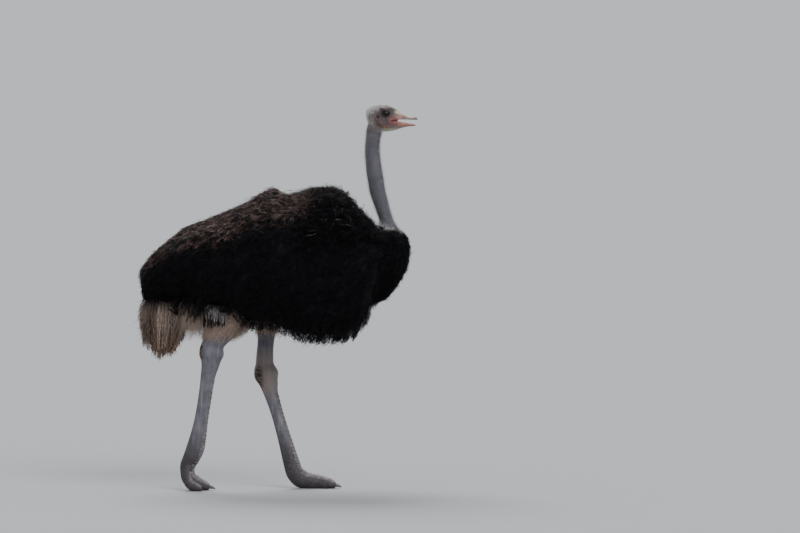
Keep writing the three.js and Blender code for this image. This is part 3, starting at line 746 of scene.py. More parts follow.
def bend_plumes(shape, paths, outward, roll, scale):
    """Copies of a flat plume, each bent along its own path. scale changes their width."""
    points, _, level, length, _ = shape
    way = unit(np.gradient(paths, axis=1))
    across = unit(np.cross(way, outward[:, None]))
    above = np.cross(across, way)
    turned = across * np.cos(roll)[:, None, None] + above * np.sin(roll)[:, None, None]
    above = np.cross(turned, way)
    place = np.clip(points[:, 1] / length / PLUME_TIMES[1], 0, len(PLUME_TIMES) - 1.001)
    low = place.astype(int)
    share = (place - low)[:, None]

    def between(values):
        return values[:, low] * (1 - share) + values[:, low + 1] * share

    aside = points[:, 0] * scale[:, None]
    height = points[:, 2] * scale[:, None]
    bent = between(paths) + between(turned) * aside[..., None] + between(above) * height[..., None]
    bent[..., 2] -= DROOP * level**2 * scale[:, None]
    return bent


def spread_map(roots):
    """Root places on the map of a piece, stretched over nearly all of it."""
    low, high = roots.min(axis=0), roots.max(axis=0)
    return (roots - low) / (high - low) * (1 - 2 * PATCH) + PATCH / 2


def coat_object(name, points, faces, uvs, layers):
    """One object from whole arrays, with its map and its masks."""
    mesh = bpy.data.meshes.new(name)
    mesh.vertices.add(len(points))
    mesh.vertices.foreach_set("co", points.ravel())
    mesh.loops.add(faces.size)
    mesh.loops.foreach_set("vertex_index", faces.ravel())
    mesh.polygons.add(len(faces))
    mesh.polygons.foreach_set("loop_start", np.arange(0, faces.size, 3))
    mesh.update(calc_edges=True)
    mesh.validate()
    made = bpy.data.objects.new(name, mesh)
    bpy.context.collection.objects.link(made)
    unwrap = mesh.uv_layers.new(name="OFBake")
    unwrap.data.foreach_set("uv", uvs[faces.ravel()].ravel())
    for layer, values in layers.items():
        mask(made, layer, values)
    shade_smooth(made)
    return made


def plumage(name, field, variants, seed):
    """Plumes over a field: their paths, outward ways, root places on the map, and how lit they are."""
    rng = np.random.default_rng(seed)
    count = len(field["paths"])
    kind = rng.integers(0, len(variants), count)
    roll = rng.normal(0, field["roll"], count)
    scale = rng.uniform(0.8, 1.25, count)
    shade = rng.uniform(0, 1, count)
    roots = spread_map(field["roots"])
    points, faces, uvs, tips, shades, lights, strays = [], [], [], [], [], [], []
    strand = len(SPINDLES[3][0])
    total = 0
    for number, shape in enumerate(variants):
        chosen = kind == number
        flat, local, level, length, half_width = shape
        paths, outward = field["paths"][chosen], field["outward"][chosen]
        bent = bend_plumes(shape, paths, outward, roll[chosen], scale[chosen])
        many, each = bent.shape[:2]
        across = 0.5 + (flat[:, 0] + 0.6 * flat[:, 2]) / (3.2 * half_width)
        length_wise = (flat[:, 1] + 0.3 * flat[:, 2]) / (1.35 * length)
        patch = np.clip(np.stack([across, length_wise], -1), 0, 1) * PATCH
        points.append(bent.reshape(-1, 3))
        faces.append((total + np.arange(many)[:, None, None] * each + local).reshape(-1, 3))
        uvs.append((roots[chosen][:, None] + patch).reshape(-1, 2))
        along_plume = np.clip(flat[:, 1] / length, 0, 1)
        tips.append(np.tile(0.45 * level + 0.55 * along_plume, many))
        shades.append(np.repeat(shade[chosen], each))
        lights.append(np.repeat(field["lit"][chosen], each))
        stray = np.abs(rng.normal(0, 1, (many, each // strand))) * rng.uniform(0.3, 1.7, (many, 1))
        strays.append(np.repeat(stray, strand, axis=1).ravel())
        total += many * each
    layers = {
        "tip": np.concatenate(tips),
        "shade": np.concatenate(shades),
        "lit": np.concatenate(lights),
    }
    points = np.concatenate(points)
    if "fray" in field:
        points = drawn_in(points, NEATNESS - field["fray"] * np.concatenate(strays))
    made = coat_object(name, points, np.concatenate(faces), np.concatenate(uvs), layers)
    print(name, count, "plumes", triangles(made), "triangles")
    return made


# %% [markdown]
# ## The mass under the loose tips
# The plumes are packed so closely that no light gets through them. That mass is modelled first, a
# little inside the bird's outline, as a back, a breast and two folded wings, fused like the head. The
# loose plumes are then rooted all over it and combed the way a bird's plumes fall: back and down.

# %% Stops of the back, the wings and the breast
BACK = millimetres(
    [-648, 0, 985, 40, 60],
    [-628, 0, 992, 88, 120],
    [-590, 0, 1008, 103, 158],
    [-530, 0, 1030, 140, 196],
    [-442, 0, 1066, 174, 232],
    [-335, 0, 1087, 193, 258],
    [-211, 0, 1112, 216, 278],
    [-94, 0, 1142, 244, 288],
    [60, 0, 1147, 245, 290],
    [170, 0, 1147, 268, 288],
    [276, 0, 1147, 272, 280],
    [326, 0, 1147, 235, 268],
    [401, 0, 1147, 152, 246],
    [452, 0, 1147, 94, 215],
    [498, 0, 1147, 44, 172],
)
WING = millimetres(
    [454, 170, 976, 160, 72],
    [412, 180, 988, 208, 102],
    [350, 185, 996, 239, 116],
    [250, 190, 998, 252, 122],
    [150, 195, 1004, 251, 122],
    [60, 195, 1022, 237, 122],
    [-20, 195, 1030, 220, 122],
    [-125, 190, 1030, 212, 120],
    [-160, 188, 1040, 190, 118],
    [-200, 185, 1056, 162, 114],
    [-300, 176, 1042, 148, 104],
    [-372, 160, 1028, 132, 90],
    [-428, 140, 1010, 100, 60],
)
BREAST = [
    ((0.470, 0, 1.080), (0.153, 0.200, 0.180)),
    ((0.537, 0, 1.166), (0.086, 0.135, 0.092)),
]
TUFTS_ON_TOP = [((-0.012, 0, 1.388), (0.050, 0.10, 0.036)), ((0.235, 0, 1.400), (0.10, 0.15, 0.030))]
MASS_VOXEL = 0.009
CLUMP = 0.009
# Outline of all black plumage from the side, X and Z, from the tail over the back to the breast and
# home along the hem.
OUTLINE = millimetres(
    [-655, 902], [-645, 953], [-658, 1051], [-602, 1122], [-530, 1184], [-442, 1255], [-335, 1295],
    [-211, 1344], [-97, 1398], [-84, 1422], [-50, 1440], [-17, 1448], [12, 1432], [60, 1418], [108, 1418],
    [170, 1432], [228, 1436], [276, 1436], [308, 1420], [340, 1392], [372, 1362], [404, 1326], [444, 1286],
    [470, 1250], [494, 1222], [512, 1238], [550, 1262], [590, 1251], [611, 1230], [629, 1189], [635, 1137],
    [615, 1059], [569, 982], [516, 919], [466, 895], [458, 811], [437, 770], [358, 722], [251, 713],
    [144, 722], [55, 757], [-17, 785], [-84, 785], [-156, 790], [-166, 862], [-252, 866], [-348, 871],
    [-366, 862], [-386, 836], [-402, 816], [-426, 822], [-446, 852], [-476, 900],
)
WIDEST = 0.335
MASS_INSET = 0.014
GIVE = 0.3  # share of what stands past the outline that is left there
NEATNESS = 0.004


def drawn_in(points, inset, give=GIVE):
    """Moves points in until they lie inset inside the outline, all but a share of what is too much."""
    flat = points[:, [0, 2]]
    nearest = np.full(len(flat), np.inf)
    spot = np.empty_like(flat)
    within = np.zeros(len(flat), bool)
    for start, end in zip(OUTLINE, np.roll(OUTLINE, -1, axis=0)):
        edge = end - start
        on = start + edge * np.clip((flat - start) @ edge / (edge @ edge), 0, 1)[:, None]
        gap = np.linalg.norm(flat - on, axis=1)
        closer = gap < nearest
        nearest[closer], spot[closer] = gap[closer], on[closer]
        crosses = (start[1] > flat[:, 1]) != (end[1] > flat[:, 1])
        left_of = flat[:, 0] < start[0] + edge[0] * (flat[:, 1] - start[1]) / (edge[1] + 1e-12)
        within ^= crosses & left_of
    inward = (flat - spot) * np.where(within, 1, -1)[:, None] / np.maximum(nearest, 1e-6)[:, None]
    excess = np.maximum(inset + np.where(within, -nearest, nearest), 0) * (1 - give)
    moved = points.copy()
    moved[:, [0, 2]] += inward * excess[:, None]
    moved[:, 1] -= np.sign(points[:, 1]) * np.maximum(np.abs(points[:, 1]) - WIDEST, 0) * (1 - give)
    return moved


def plume_mass():
    forms = [limb(BACK, 72, 90), limb(WING, 56, 90), limb(on_side(WING, RIGHT), 56, 90)]
    forms += [oval(middle, half, 48, 32) for middle, half in BREAST + TUFTS_ON_TOP]
    made = fuse(as_object("under_plumes", *forms), MASS_VOXEL)
    soften(made, 5)
    points, normals = corners_of(made), corners_of(made, "normal")
    broad = [noise.noise(Vector(point)) for point in points * [9, 14, 9]]
    small = [noise.noise(Vector(point)) for point in points * 34]
    lumpy = points + normals * ((np.array(broad) + np.array(small)) * CLUMP)[:, None]
    move_corners(made, drawn_in(lumpy, MASS_INSET, 0.1))
    return soften(made, 2)


UNWRAP_HIGH = 1.05  # height of the line that the unwrap of the body turns round


def body_map(points):
    """Places on an unwrap of the body: along it, and round it from the back."""
    turn = np.arctan2(points[:, 1], points[:, 2] - UNWRAP_HIGH)
    return np.stack([points[:, 0], turn], -1)


# Lower edge of the band on the back where painted sunlight turns the black plumes brown, along X.
SUNLIT_EDGE = millimetres(
    [-600, 1090], [-506, 1150], [-348, 1198], [-204, 1226], [-84, 1285], [108, 1306], [280, 1400]
)


# How much painted sunlight a place gets: full above the band's lower edge, less towards the shoulders.
def sunlit_band(points):
    edge = along(SUNLIT_EDGE, points[:, 0])[:, 0]
    fore = smooth_step(points[:, 0], 0.10, 0.22)
    return smooth_step(points[:, 2], edge - 0.035, edge + 0.045) * (1 - 0.8 * fore)


mass = plume_mass()
print("mass", triangles(mass), "triangles")

# %% The mass gets the same kind of map and masks as the plumes
SEAM = 0.98


def map_mass(made):
    spots = body_map(corners_of(made))
    low, high = spots[:, 0].min(), spots[:, 0].max()
    place = np.stack([(spots[:, 0] - low) / (high - low), (spots[:, 1] / (2 * np.pi) + 0.5) * SEAM], -1)
    used = np.empty(len(made.data.loops), int)
    made.data.loops.foreach_get("vertex_index", used)
    uvs = place[used]
    for face in made.data.polygons:
        loops = slice(face.loop_start, face.loop_start + face.loop_total)
        round_it = uvs[loops, 1]
        if round_it.max() - round_it.min() > 0.5:
            uvs[loops, 1] = np.where(round_it < 0.5, round_it + SEAM, round_it)
    unwrap = made.data.uv_layers.new(name="OFBake")
    unwrap.data.foreach_set("uv", uvs.ravel())


map_mass(mass)
for layer in ("tip", "shade", "lit"):
    mask(mass, layer, np.zeros(len(mass.data.vertices)))
shade_smooth(mass)

# %% Rooting and combing
FALL = Vector((-0.80, 0, -0.90))
HANG = Vector((-0.22, 0, -1.0))
ROOT_DEPTH = 0.006


def scattered(points, spacing, rng):
    """Which points to keep so that no two are nearer than their spacing."""
    taken, kept = {}, []
    cell = spacing.max()
    keys = np.floor(points / cell).astype(int)
    for number in rng.permutation(len(points)):
        key = tuple(keys[number])
        near = [
            other
            for dx in (-1, 0, 1) for dy in (-1, 0, 1) for dz in (-1, 0, 1)
            for other in taken.get((key[0] + dx, key[1] + dy, key[2] + dz), ())
        ]
        if near and np.min(np.sum((points[near] - points[number]) ** 2, axis=1)) < spacing[number] ** 2:
            continue
        taken.setdefault(key, []).append(number)
        kept.append(number)
    return np.array(kept)


def led_by(fall, out, loose):
    """The way a plume takes on the mass: it never goes in, and leaves it only as far as it is loose."""
    leaving = fall.dot(out)
    return (fall - out * leaving * (1.0 if leaving < 0 else 1 - loose)).normalized()


def comb(tree, roots, outward, long, stand, loose, way_down, rng):
    """Paths from roots along the mass: how long, how far off it, and how freely they leave it."""
    paths = np.empty((len(roots), len(PLUME_TIMES), 3))
    stray = rng.normal(0, 0.20, (len(roots), 3))
    rise = np.interp(PLUME_TIMES, [0, 0.35, 0.8, 1.2], [0, 0.65, 1, 1.1])
    for number, root in enumerate(roots):
        point, out = Vector(root), Vector(outward[number])
        fall = way_down + Vector(stray[number])
        step = long[number] * PLUME_TIMES[1]
        way = led_by(fall, out, loose[number])
        for k, share in enumerate(rise):
            paths[number, k] = point + out * (stand[number] * share - ROOT_DEPTH * (1 - share))
            way = way.lerp(led_by(fall, out, loose[number]), 0.5 * (1 - loose[number])).normalized()
            ahead = point + way * step
            near, facing, _, _ = tree.find_nearest(ahead)
            inside = (ahead - near).dot(facing) < 0
            point = near if inside else near.lerp(ahead, loose[number])
            out = out.lerp(facing, 0.5 * (1 - loose[number])).normalized()
    return paths


rng = np.random.default_rng(11)
tree = bvhtree.BVHTree.FromObject(mass, bpy.context.evaluated_depsgraph_get())
middles = np.array([face.center for face in mass.data.polygons])
facings = np.array([face.normal for face in mass.data.polygons])
x, y, z = middles.T
side_of = np.abs(y)
hem = (z < 0.88 + 0.06 * (x > 0.40) + 0.05 * (x < -0.15)) & (side_of > 0.10)
vent = (x > -0.47) & (x < -0.33) & (z < 0.98) & (side_of > 0.07)
breast = smooth_step(x, 0.46, 0.52)
shoulder = smooth_step(x, 0.08, 0.16) * (1 - breast) * smooth_step(z, 1.12, 1.25)
under_body = (z < 0.93) & (side_of < 0.17) & (x < 0.16) & ~vent
in_collar = (np.hypot(x - 0.545, y) < 0.050) & (z > 1.15)
inner = (facings[:, 1] * np.sign(y) < -0.35) & (z < 1.0)
spacing = 0.0212 - 0.003 * shoulder - 0.0045 * breast + 0.012 * inner + 0.001 * (z < 1.1)
kept = scattered(middles, spacing, rng)
kept = kept[~(under_body | in_collar)[kept]]
print("roots", len(kept))

# %% Loose plumes all over the mass
CURLY = [plume(100 + k, 0.070, 0.021, 24, 66, 30, 1.0) for k in range(6)]
TOUSLED = [plume(200 + k, 0.055, 0.024, 26, 76, 55, 1.6) for k in range(6)]
HANGING = [plume(300 + k, 0.095, 0.020, 26, 48, 12, 0.7) for k in range(6)]


def combed_field(chosen, long, stand, loose, roll, fray, way_down):
    """What plumage needs to know of the chosen roots."""
    count = len(chosen)
    roots, outward = middles[chosen], facings[chosen]
    long = long * rng.uniform(0.75, 1.2, count)
    stand = stand * rng.uniform(0.3, 1.3, count)
    slack = np.full(count, loose)
    paths = comb(tree, roots, outward, long, stand, slack, way_down, rng)
    # lit: how much of the painted sunlight, brown on the back, each plume's colour takes.
    lit = sunlit_band(roots) * rng.uniform(0.2, 1.0, count)
    field = {"paths": paths, "outward": outward, "roots": body_map(roots)}
    return field | {"lit": lit, "roll": roll, "fray": fray}


on_wing = (side_of > 0.13) & (z < 1.16) & (x < 0.45) & (x > -0.44)
regions = {
    "breast": (breast > 0.5, TOUSLED, 0.052, 0.015, 0.15, 0.4, 0.005),
    "shoulder": (shoulder > 0.5, TOUSLED, 0.056, 0.026, 0.38, 1.0, 0.019),
    "crest": ((np.abs(x + 0.035) < 0.065) & (z > 1.36), TOUSLED, 0.052, 0.024, 0.40, 1.0, 0.012),
    "vent": (vent, HANGING, 0.125, 0.012, 0.97, 0.45, 0.009),
    "hem": (hem & on_wing, HANGING, 0.086, 0.014, 0.86, 0.45, 0.010),
    "wing": (on_wing, CURLY, 0.078, 0.014, 0.25, 0.35, 0.008),
    "back": (x > -0.30, CURLY, 0.064, 0.016, 0.25, 0.6, 0.007),
    "rump": (x > -9.0, CURLY, 0.068, 0.014, 0.22, 0.5, 0.007),
}
coat = []
left_over = np.ones(len(middles), bool)
for region, (inside, variants, *habit) in regions.items():
    here = kept[(inside & left_over)[kept]]
    way_down = HANG if variants is HANGING else FALL
    left_over &= ~inside
    if region in ("hem", "wing"):
        for name, side in SIDES.items():
            own = here[middles[here, 1] * side > 0]
            field = combed_field(own, *habit, way_down)
            coat.append(plumage(f"wing_{name}_{region}_plumes", field, variants, 20 + len(coat)))
    else:
        field = combed_field(here, *habit, way_down)
        coat.append(plumage(f"{region}_plumes", field, variants, 20 + len(coat)))

# %% Pointed tufts on the shoulders and the breast
SPIKY = [plume(600 + k, 0.046, 0.010, 16, 26, 6, 0.7, 0.0019) for k in range(4)]
PRICKLY = [plume(650 + k, 0.024, 0.006, 10, 26, 8, 0.7, 0.0014) for k in range(4)]
UP_AND_OUT = Vector((0.45, 0, 0.75))
FORWARD = Vector((0.9, 0, -0.3))
for name, (inside, variants, count, *habit) in {
    "shoulder_tufts": (shoulder > 0.3, SPIKY, 330, 0.046, 0.006, 0.92, 0.8, 0.028, UP_AND_OUT),
    "breast_tufts": (breast > 0.5, PRICKLY, 420, 0.026, 0.012, 0.90, 0.8, 0.009, FORWARD),
}.items():
    chosen = rng.choice(np.flatnonzero(inside & ~in_collar), count, replace=False)
    coat.append(plumage(name, combed_field(chosen, *habit), variants, 20 + len(coat)))

# %% Loose locks between the plumes
LOCKS = 16000
LOCK_ARC = [(0.0, 0.0), (0.42, 0.34), (0.86, 0.42), (1.0, 0.10)]  # along and off the mass
GLINTS = 0.09  # share of locks on the shoulders painted with a pale glint highlight
SHINING = 0.06  # and on the back's band of painted sunlight
GLINT_MIDDLE, GLINT_HALF = np.array([0.265, 1.270]), np.array([0.080, 0.075])


def loose_locks(name, count, seed):
    """Curled locks that catch the light on the back and stand out on the shoulders and the breast."""
    rng = np.random.default_rng(seed)
    weight = 0.10 + 1.1 * sunlit_band(middles) + 1.1 * shoulder + 1.0 * breast + 0.5 * hem
    weight = weight * ~(under_body | in_collar)
    chosen = rng.choice(len(middles), count, p=weight / weight.sum())
    roots = middles[chosen] + rng.uniform(-0.5, 0.5, (count, 3)) * MASS_VOXEL
    in_glints = np.all(np.abs(roots[:, [0, 2]] - GLINT_MIDDLE) < GLINT_HALF, axis=1)
    outward = unit(facings[chosen] + rng.normal(0, 0.3, (count, 3)))
    lie = np.array(FALL) + rng.normal(0, 0.65, (count, 3))
    lie = unit(lie - outward * np.sum(lie * outward, axis=1, keepdims=True))
    aside = np.cross(lie, outward) * rng.normal(0, 0.8, (count, 1))
    small = (1 - 0.6 * breast[chosen])[:, None]
    long = rng.uniform(0.020, 0.052, (count, 1)) * small
    stand = (0.55 + 1.0 * shoulder[chosen] + 0.8 * breast[chosen])[:, None]
    lift = 0.010
    arc = [roots + lie * long * a + outward * (lift * (k > 0) + long * b * stand) + aside * long * a * a
           for k, (a, b) in enumerate(LOCK_ARC)]
    curves = np.stack(arc, 1)
    width = rng.uniform(0.0006, 0.0017, count) * small[:, 0] * np.where(in_glints, 0.6, 1.0)
    points, faces, level = strands(curves, np.cross(outward, lie), width, width * 0.5)
    uvs = (spread_map(body_map(roots))[:, None] + SPINDLE_SPOTS[4] * PATCH).reshape(-1, 2)
    # lit: painted brown sunlight on the back's band; near 1 it marks a painted pale glint highlight.
    lit = np.clip(sunlit_band(roots) * 1.3, 0, 1) * 0.9 * rng.uniform(0, 1, count) ** 1.5
    shining = (sunlit_band(roots) > 0.5) * SHINING
    glint = rng.uniform(0, 1, count) < GLINTS * in_glints + shining
    each = len(SPINDLES[4][0])
    layers = {
        "tip": level,
        "shade": np.repeat(rng.uniform(0, 1, count), each),
        "lit": np.repeat(np.where(glint, rng.uniform(0.93, 1.0, count), lit), each),
    }
    fray = (0.006 + 0.018 * shoulder[chosen]) * np.abs(rng.normal(0, 1, count))
    made = coat_object(name, drawn_in(points, NEATNESS - np.repeat(fray, each)), faces, uvs, layers)
    print(name, count, "locks", triangles(made), "triangles")
    return made


coat.append(loose_locks("loose_locks", LOCKS, 12))

# %% [markdown]
# ## Wing tips and tail
# Under the wing's hind end show a few pale flight feathers with black ends, and the tail hangs as a
# limp beige brush. Both use longer plumes whose barbs run nearly along the shaft.

# %% Pale flight feathers
VANED = [plume(400 + k, 0.110, 0.0125, 52, 34, 12, 0.25, 0.0016) for k in range(3)]
FLIGHT_ROOT = millimetres([-250, 222, 900], [-346, 205, 905])
FLIGHT_TIP = millimetres([-240, 232, 796], [-342, 214, 826])
FLIGHT_COUNT = 11
BEHIND = millimetres([-8, -10, -6], [-8, -10, -44])  # how far the second row lies behind the pale one; that row is all dark, painted shade behind the pale feathers
for name, side in SIDES.items():
    rng = np.random.default_rng(53 + side)
    share = np.tile(np.linspace(0, 1, FLIGHT_COUNT), 2)[:, None]
    behind = np.arange(2 * FLIGHT_COUNT)[:, None] >= FLIGHT_COUNT
    root = FLIGHT_ROOT[0] * (1 - share) + FLIGHT_ROOT[1] * share
    tip = FLIGHT_TIP[0] * (1 - share) + FLIGHT_TIP[1] * share + rng.uniform(-0.005, 0.005, (len(share), 3))
    tip = tip + behind * (BEHIND[0] * (1 - share) + BEHIND[1] * share)
    swell = np.array([0.010, 0.012, 0.0])
    paths = root[:, None] + (tip - root)[:, None] * PLUME_TIMES[:, None] * 0.92
    paths = paths + swell * (PLUME_TIMES * (1.2 - PLUME_TIMES))[:, None]
    outward = np.tile([0.0, 1.0, 0.15], (len(share), 1))
    flip = np.array([1, side, 1])
    field = {
        "paths": paths * flip,
        "outward": outward * flip,
        "roots": np.concatenate([share, rng.uniform(0, 1, (len(share), 1))], 1),
        # lit marks the row behind, which the finish paints all dark as the shade behind the pale feathers.
        "lit": behind[:, 0] * 1.0,
        "roll": 0.12,
    }
    coat.append(plumage(f"wing_{name}_flight_feathers", field, VANED, 60 + side))

# %% Tail
TAIL_MIDDLE = np.array([-0.540, 0.0, 0.930])
TAIL_HALF = np.array([0.084, 0.096, 0.092])
LIMP = [plume(500 + k, 0.280, 0.030, 60, 25, 4, 1.7, 0.0019) for k in range(6)]
# Rings from the outermost in: count, height of the roots, spread of the tips along X and across,
# height of the lowest tip, and bulge.
TAIL_RINGS = [
    (40, 0.045, 0.098, 0.124, 0.664, 0.030),
    (36, 0.020, 0.088, 0.110, 0.652, 0.026),
    (32, 0.000, 0.076, 0.096, 0.644, 0.020),
    (26, -0.022, 0.062, 0.078, 0.642, 0.015),
    (18, -0.045, 0.046, 0.054, 0.648, 0.010),
    (10, -0.060, 0.022, 0.028, 0.652, 0.006),
]


def tail_field(seed):
    rng = np.random.default_rng(seed)
    paths, outwards, roots = [], [], []
    t = PLUME_TIMES[:, None]
    for count, root_height, spread_x, spread_y, lowest, bulge in TAIL_RINGS:
        high = root_height / TAIL_HALF[2]
        waist = np.sqrt(1 - high**2) * 0.88
        for k in range(count):
            turn = (k + rng.uniform(0.1, 0.9)) / count * 2 * np.pi
            back, aside = -np.cos(turn), np.sin(turn)
            root = TAIL_MIDDLE + [back * TAIL_HALF[0] * waist, aside * TAIL_HALF[1] * waist, root_height]
            reach = rng.uniform(0.80, 1.08)
            tip_x = TAIL_MIDDLE[0] + back * spread_x * reach - 0.012
            tip = np.array([tip_x, aside * spread_y * reach, lowest])
            tip[2] += rng.uniform(-0.010, 0.05) + 0.070 * back**2 * spread_x / 0.112
            outward = unit(np.array([back, aside, 0.2]))
            swell = bulge * np.sin(np.pi * np.minimum(t, 1))
            wave = rng.normal(0, 0.022) * np.sin(rng.uniform(3, 7) * t + rng.uniform(0, 1)) * t
            path = root + (tip - root) * t + [back, aside, 0] * swell + [-aside, back, 0] * wave
            paths.append(path)
            outwards.append(outward)
            roots.append([turn, root_height + rng.uniform(-0.004, 0.004)])
    return {
        "paths": np.array(paths),
        "outward": np.array(outwards),
        "roots": np.array(roots),
        "lit": rng.uniform(0, 1, len(paths)),
        "roll": 0.6,
    }


tail = tail_field(71)
coat.append(plumage("tail_plumes", tail, LIMP, 72))

# %% [markdown]
# ## Down
# Thighs, belly, neck and head are nearly bare: single downy tufts a few millimetres to a few
# centimetres long let the skin show through. A tuft is one strand, rooted on its limb.

# %% Tufts on a limb


def tufts(name, roots, outward, lie, long, rise, width, unwrap, seed):
    """Single strands from roots: they leave along outward by rise and lean over along lie."""
    rng = np.random.default_rng(seed)
    count = len(roots)
    stray = rng.normal(0, 0.16, (count, 3))
    start = unit(outward * rise + lie * (1 - rise) + stray)
    end = unit(outward * 1.3 * rise**2 + lie + stray * 1.6)
    long = (long * rng.uniform(0.7, 1.3, count))[:, None]
    middle = roots + start * long * 0.5
    curves = np.stack([roots - outward * 0.0008, middle, middle + end * long * 0.5], 1)
    flat = np.cross(outward, lie) + stray
    wide = width * rng.uniform(0.7, 1.3, count)
    points, faces, level = strands(curves, flat, wide, wide * 0.4)
    uvs = (spread_map(unwrap)[:, None] + SPINDLE_SPOTS[3] * PATCH).reshape(-1, 2)
    each = len(SPINDLES[3][0])
    masks = {"tip": level, "shade": np.repeat(rng.uniform(0, 1, count), each)}
    made = coat_object(name, points, faces, uvs, masks)
    print(name, count, "tufts", triangles(made), "triangles")
    return made


def limb_surface(stops, t, turn):
    """Points on a limb, their outward ways and the way down it."""
    on = limb_point(stops, t, turn)
    outward = unit(on - limb_point(stops, t, turn, -0.004))
    lie = unit(limb_point(stops, t + 0.004, turn) - on)
    return on, outward, lie


# %% Down of the neck and the head
EVERYWHERE = slice(None)
down_pieces = []


def grow(name, surface, place, kept, long, rise, width, seed):
    """Tufts at the kept places of a surface, which is its points, outward ways and lie."""
    on, outward, lie = (values[kept] for values in surface)
    unwrap = np.stack(place, -1)[kept]
    down_pieces.append(tufts(name, on, outward, lie, long[kept], rise, width, unwrap, seed))


rng = np.random.default_rng(5)
NECK_TUFTS = 20000
t = rng.uniform(0.11, 0.95, NECK_TUFTS)
turn = rng.uniform(-np.pi, np.pi, NECK_TUFTS)
on, outward, lie = limb_surface(NECK, t, turn)
long = 0.0095 + 0.004 * smooth_step(t, 0.3, 0.1) + 0.0025 * np.maximum(-np.cos(turn), 0)
grow("neck_down", (on, outward, -lie), (t, turn), EVERYWHERE, long, 0.9, 0.00026, 6)

COLLAR_TUFTS = 5200
t = rng.uniform(0.095, 0.30, COLLAR_TUFTS)
turn = rng.uniform(-np.pi, np.pi, COLLAR_TUFTS)
kept = t < 0.205 + 0.055 * np.cos(turn) + rng.normal(0, 0.016, COLLAR_TUFTS)
t, turn = t[kept], turn[kept]
on, outward, lie = limb_surface(NECK, t, turn)
long = 0.018 + 0.016 * rng.uniform(0, 1, len(t))
grow("collar_fluff", (on, outward, -lie), (t, turn), EVERYWHERE, long, 0.42, 0.0008, 7)

CROWN_TUFTS = 13000
t = rng.uniform(0.02, 0.80, CROWN_TUFTS)
turn = rng.normal(0, 0.55, CROWN_TUFTS)
on, outward, lie = limb_surface(SKULL, t, turn)
from_edge = 1.22 - 0.88 * smooth_step(t, 0.2, 0.7) - np.abs(turn)
kept = from_edge > rng.uniform(0, 0.24, CROWN_TUFTS)
long = (0.0125 - 0.0080 * smooth_step(t, 0.40, 0.74)) * (0.5 + 0.5 * smooth_step(from_edge, 0.05, 0.5))
grow("crown_down", (on, outward, -lie), (t, turn), kept, long, 0.62, 0.00046, 8)

THROAT_TUFTS = 6400
at_nape = rng.uniform(0, 1, THROAT_TUFTS) < 0.5
t = np.where(at_nape, rng.uniform(0.0, 0.28, THROAT_TUFTS), rng.uniform(0.16, 0.80, THROAT_TUFTS))
throat_turn = np.pi + rng.normal(0, 0.5, THROAT_TUFTS)
turn = np.where(at_nape, rng.uniform(-np.pi, np.pi, THROAT_TUFTS), throat_turn)
on, outward, lie = limb_surface(SKULL, t, turn)
kept = np.linalg.norm((on - EAR)[:, [0, 2]], axis=1) > 0.012
long = np.where(at_nape, 0.0075, 0.0055)
grow("throat_down", (on, outward, -lie), (t, turn), kept, long, 0.6, 0.0003, 13)

FACE_TUFTS = 2600
t = rng.uniform(0.05, 0.84, FACE_TUFTS)
turn = rng.uniform(0.7, 2.5, FACE_TUFTS) * rng.choice([-1, 1], FACE_TUFTS)
on, outward, lie = limb_surface(SKULL, t, turn)
from_eye = np.linalg.norm((on - EYE)[:, [0, 2]], axis=1)
from_ear = np.linalg.norm((on - EAR)[:, [0, 2]], axis=1)
mouth_low, mouth_high = along(MOUTH, on[:, 0]).T
in_mouth = (on[:, 0] > MOUTH[0, 0]) & (on[:, 2] > mouth_low - 0.002) & (on[:, 2] < mouth_high + 0.002)
kept = (from_eye > 0.024) & (from_ear > 0.008) & ~in_mouth & (on[:, 0] < 0.582)
long = 0.0032 + 0.004 * bell(from_ear, 0, 0.014)
grow("face_bristles", (on, outward, -lie), (t, turn), kept, long, 0.45, 0.0002, 9)

# %% Lashes
LASHES = 34


def lashes():
    roots, outward, lie, place = [], [], [], []
    for side in SIDES.values():
        for share in np.linspace(0, 1, LASHES):
            turn = (18 + 144 * share) * DEGREE
            dx, dz = EYE_OPENING[0] * 1.02 * np.cos(turn), EYE_OPENING[1] * 1.06 * np.sin(turn)
            dy = np.sqrt(max((EYE_RADIUS + LID * 0.8) ** 2 - dx**2 - dz**2, 0))
            roots.append([EYE[0] + 0.001 + dx, side * (EYE[1] + dy), EYE[2] + dz])
            outward.append([0.5 * np.cos(turn), side, 0.35])
            lie.append([0.9 * np.cos(turn), side * 0.25, 0.9])
            place.append([share, side])
    long = 0.0085 + 0.003 * np.sin(np.pi * np.tile(np.linspace(0, 1, LASHES), 2))
    surface = (np.array(roots), unit(np.array(outward)), unit(np.array(lie)))
    grow("lashes", surface, np.array(place, float).T, EVERYWHERE, long, 0.6, 0.00024, 10)


lashes()

# %% Down of the thighs and the belly
BEIGE_TOP = 0.885  # above this the black plumes begin
THIGH_TUFTS = 9000
for name, leg in LEGS.items():
    last = len(leg["leg"]) - 1
    t = rng.uniform(0.9, leg["ankle"] - 1.05, THIGH_TUFTS) / last
    turn = rng.uniform(-np.pi, np.pi, THIGH_TUFTS)
    on, outward, lie = limb_surface(on_side(leg["leg"], leg["side"]), t, turn)
    above_hem = on[:, 2] - leg["hem"] + rng.normal(0, 0.012, THIGH_TUFTS)
    fade = smooth_step(above_hem, -0.03, 0.02)
    kept = (rng.uniform(0, 1, THIGH_TUFTS) < 0.04 + 0.96 * fade) & (on[:, 2] < BEIGE_TOP)
    surface = (on - outward * THIGH_DOWN, outward, unit(lie + [0, 0, -0.6]))
    long = 0.006 + 0.016 * fade + 0.022 * bell(above_hem, 0, 0.025)
    grow(f"thigh_{name}_down", surface, (t, turn), kept, long, 0.3, 0.0011, 40)


def trunk_surface(x, turn):
    """Points on the skin of the trunk, and their outward ways."""
    on = body_point(x, turn, -SKIN_DEPTH)
    return on, unit(body_point(x, turn, 0.03) - on)


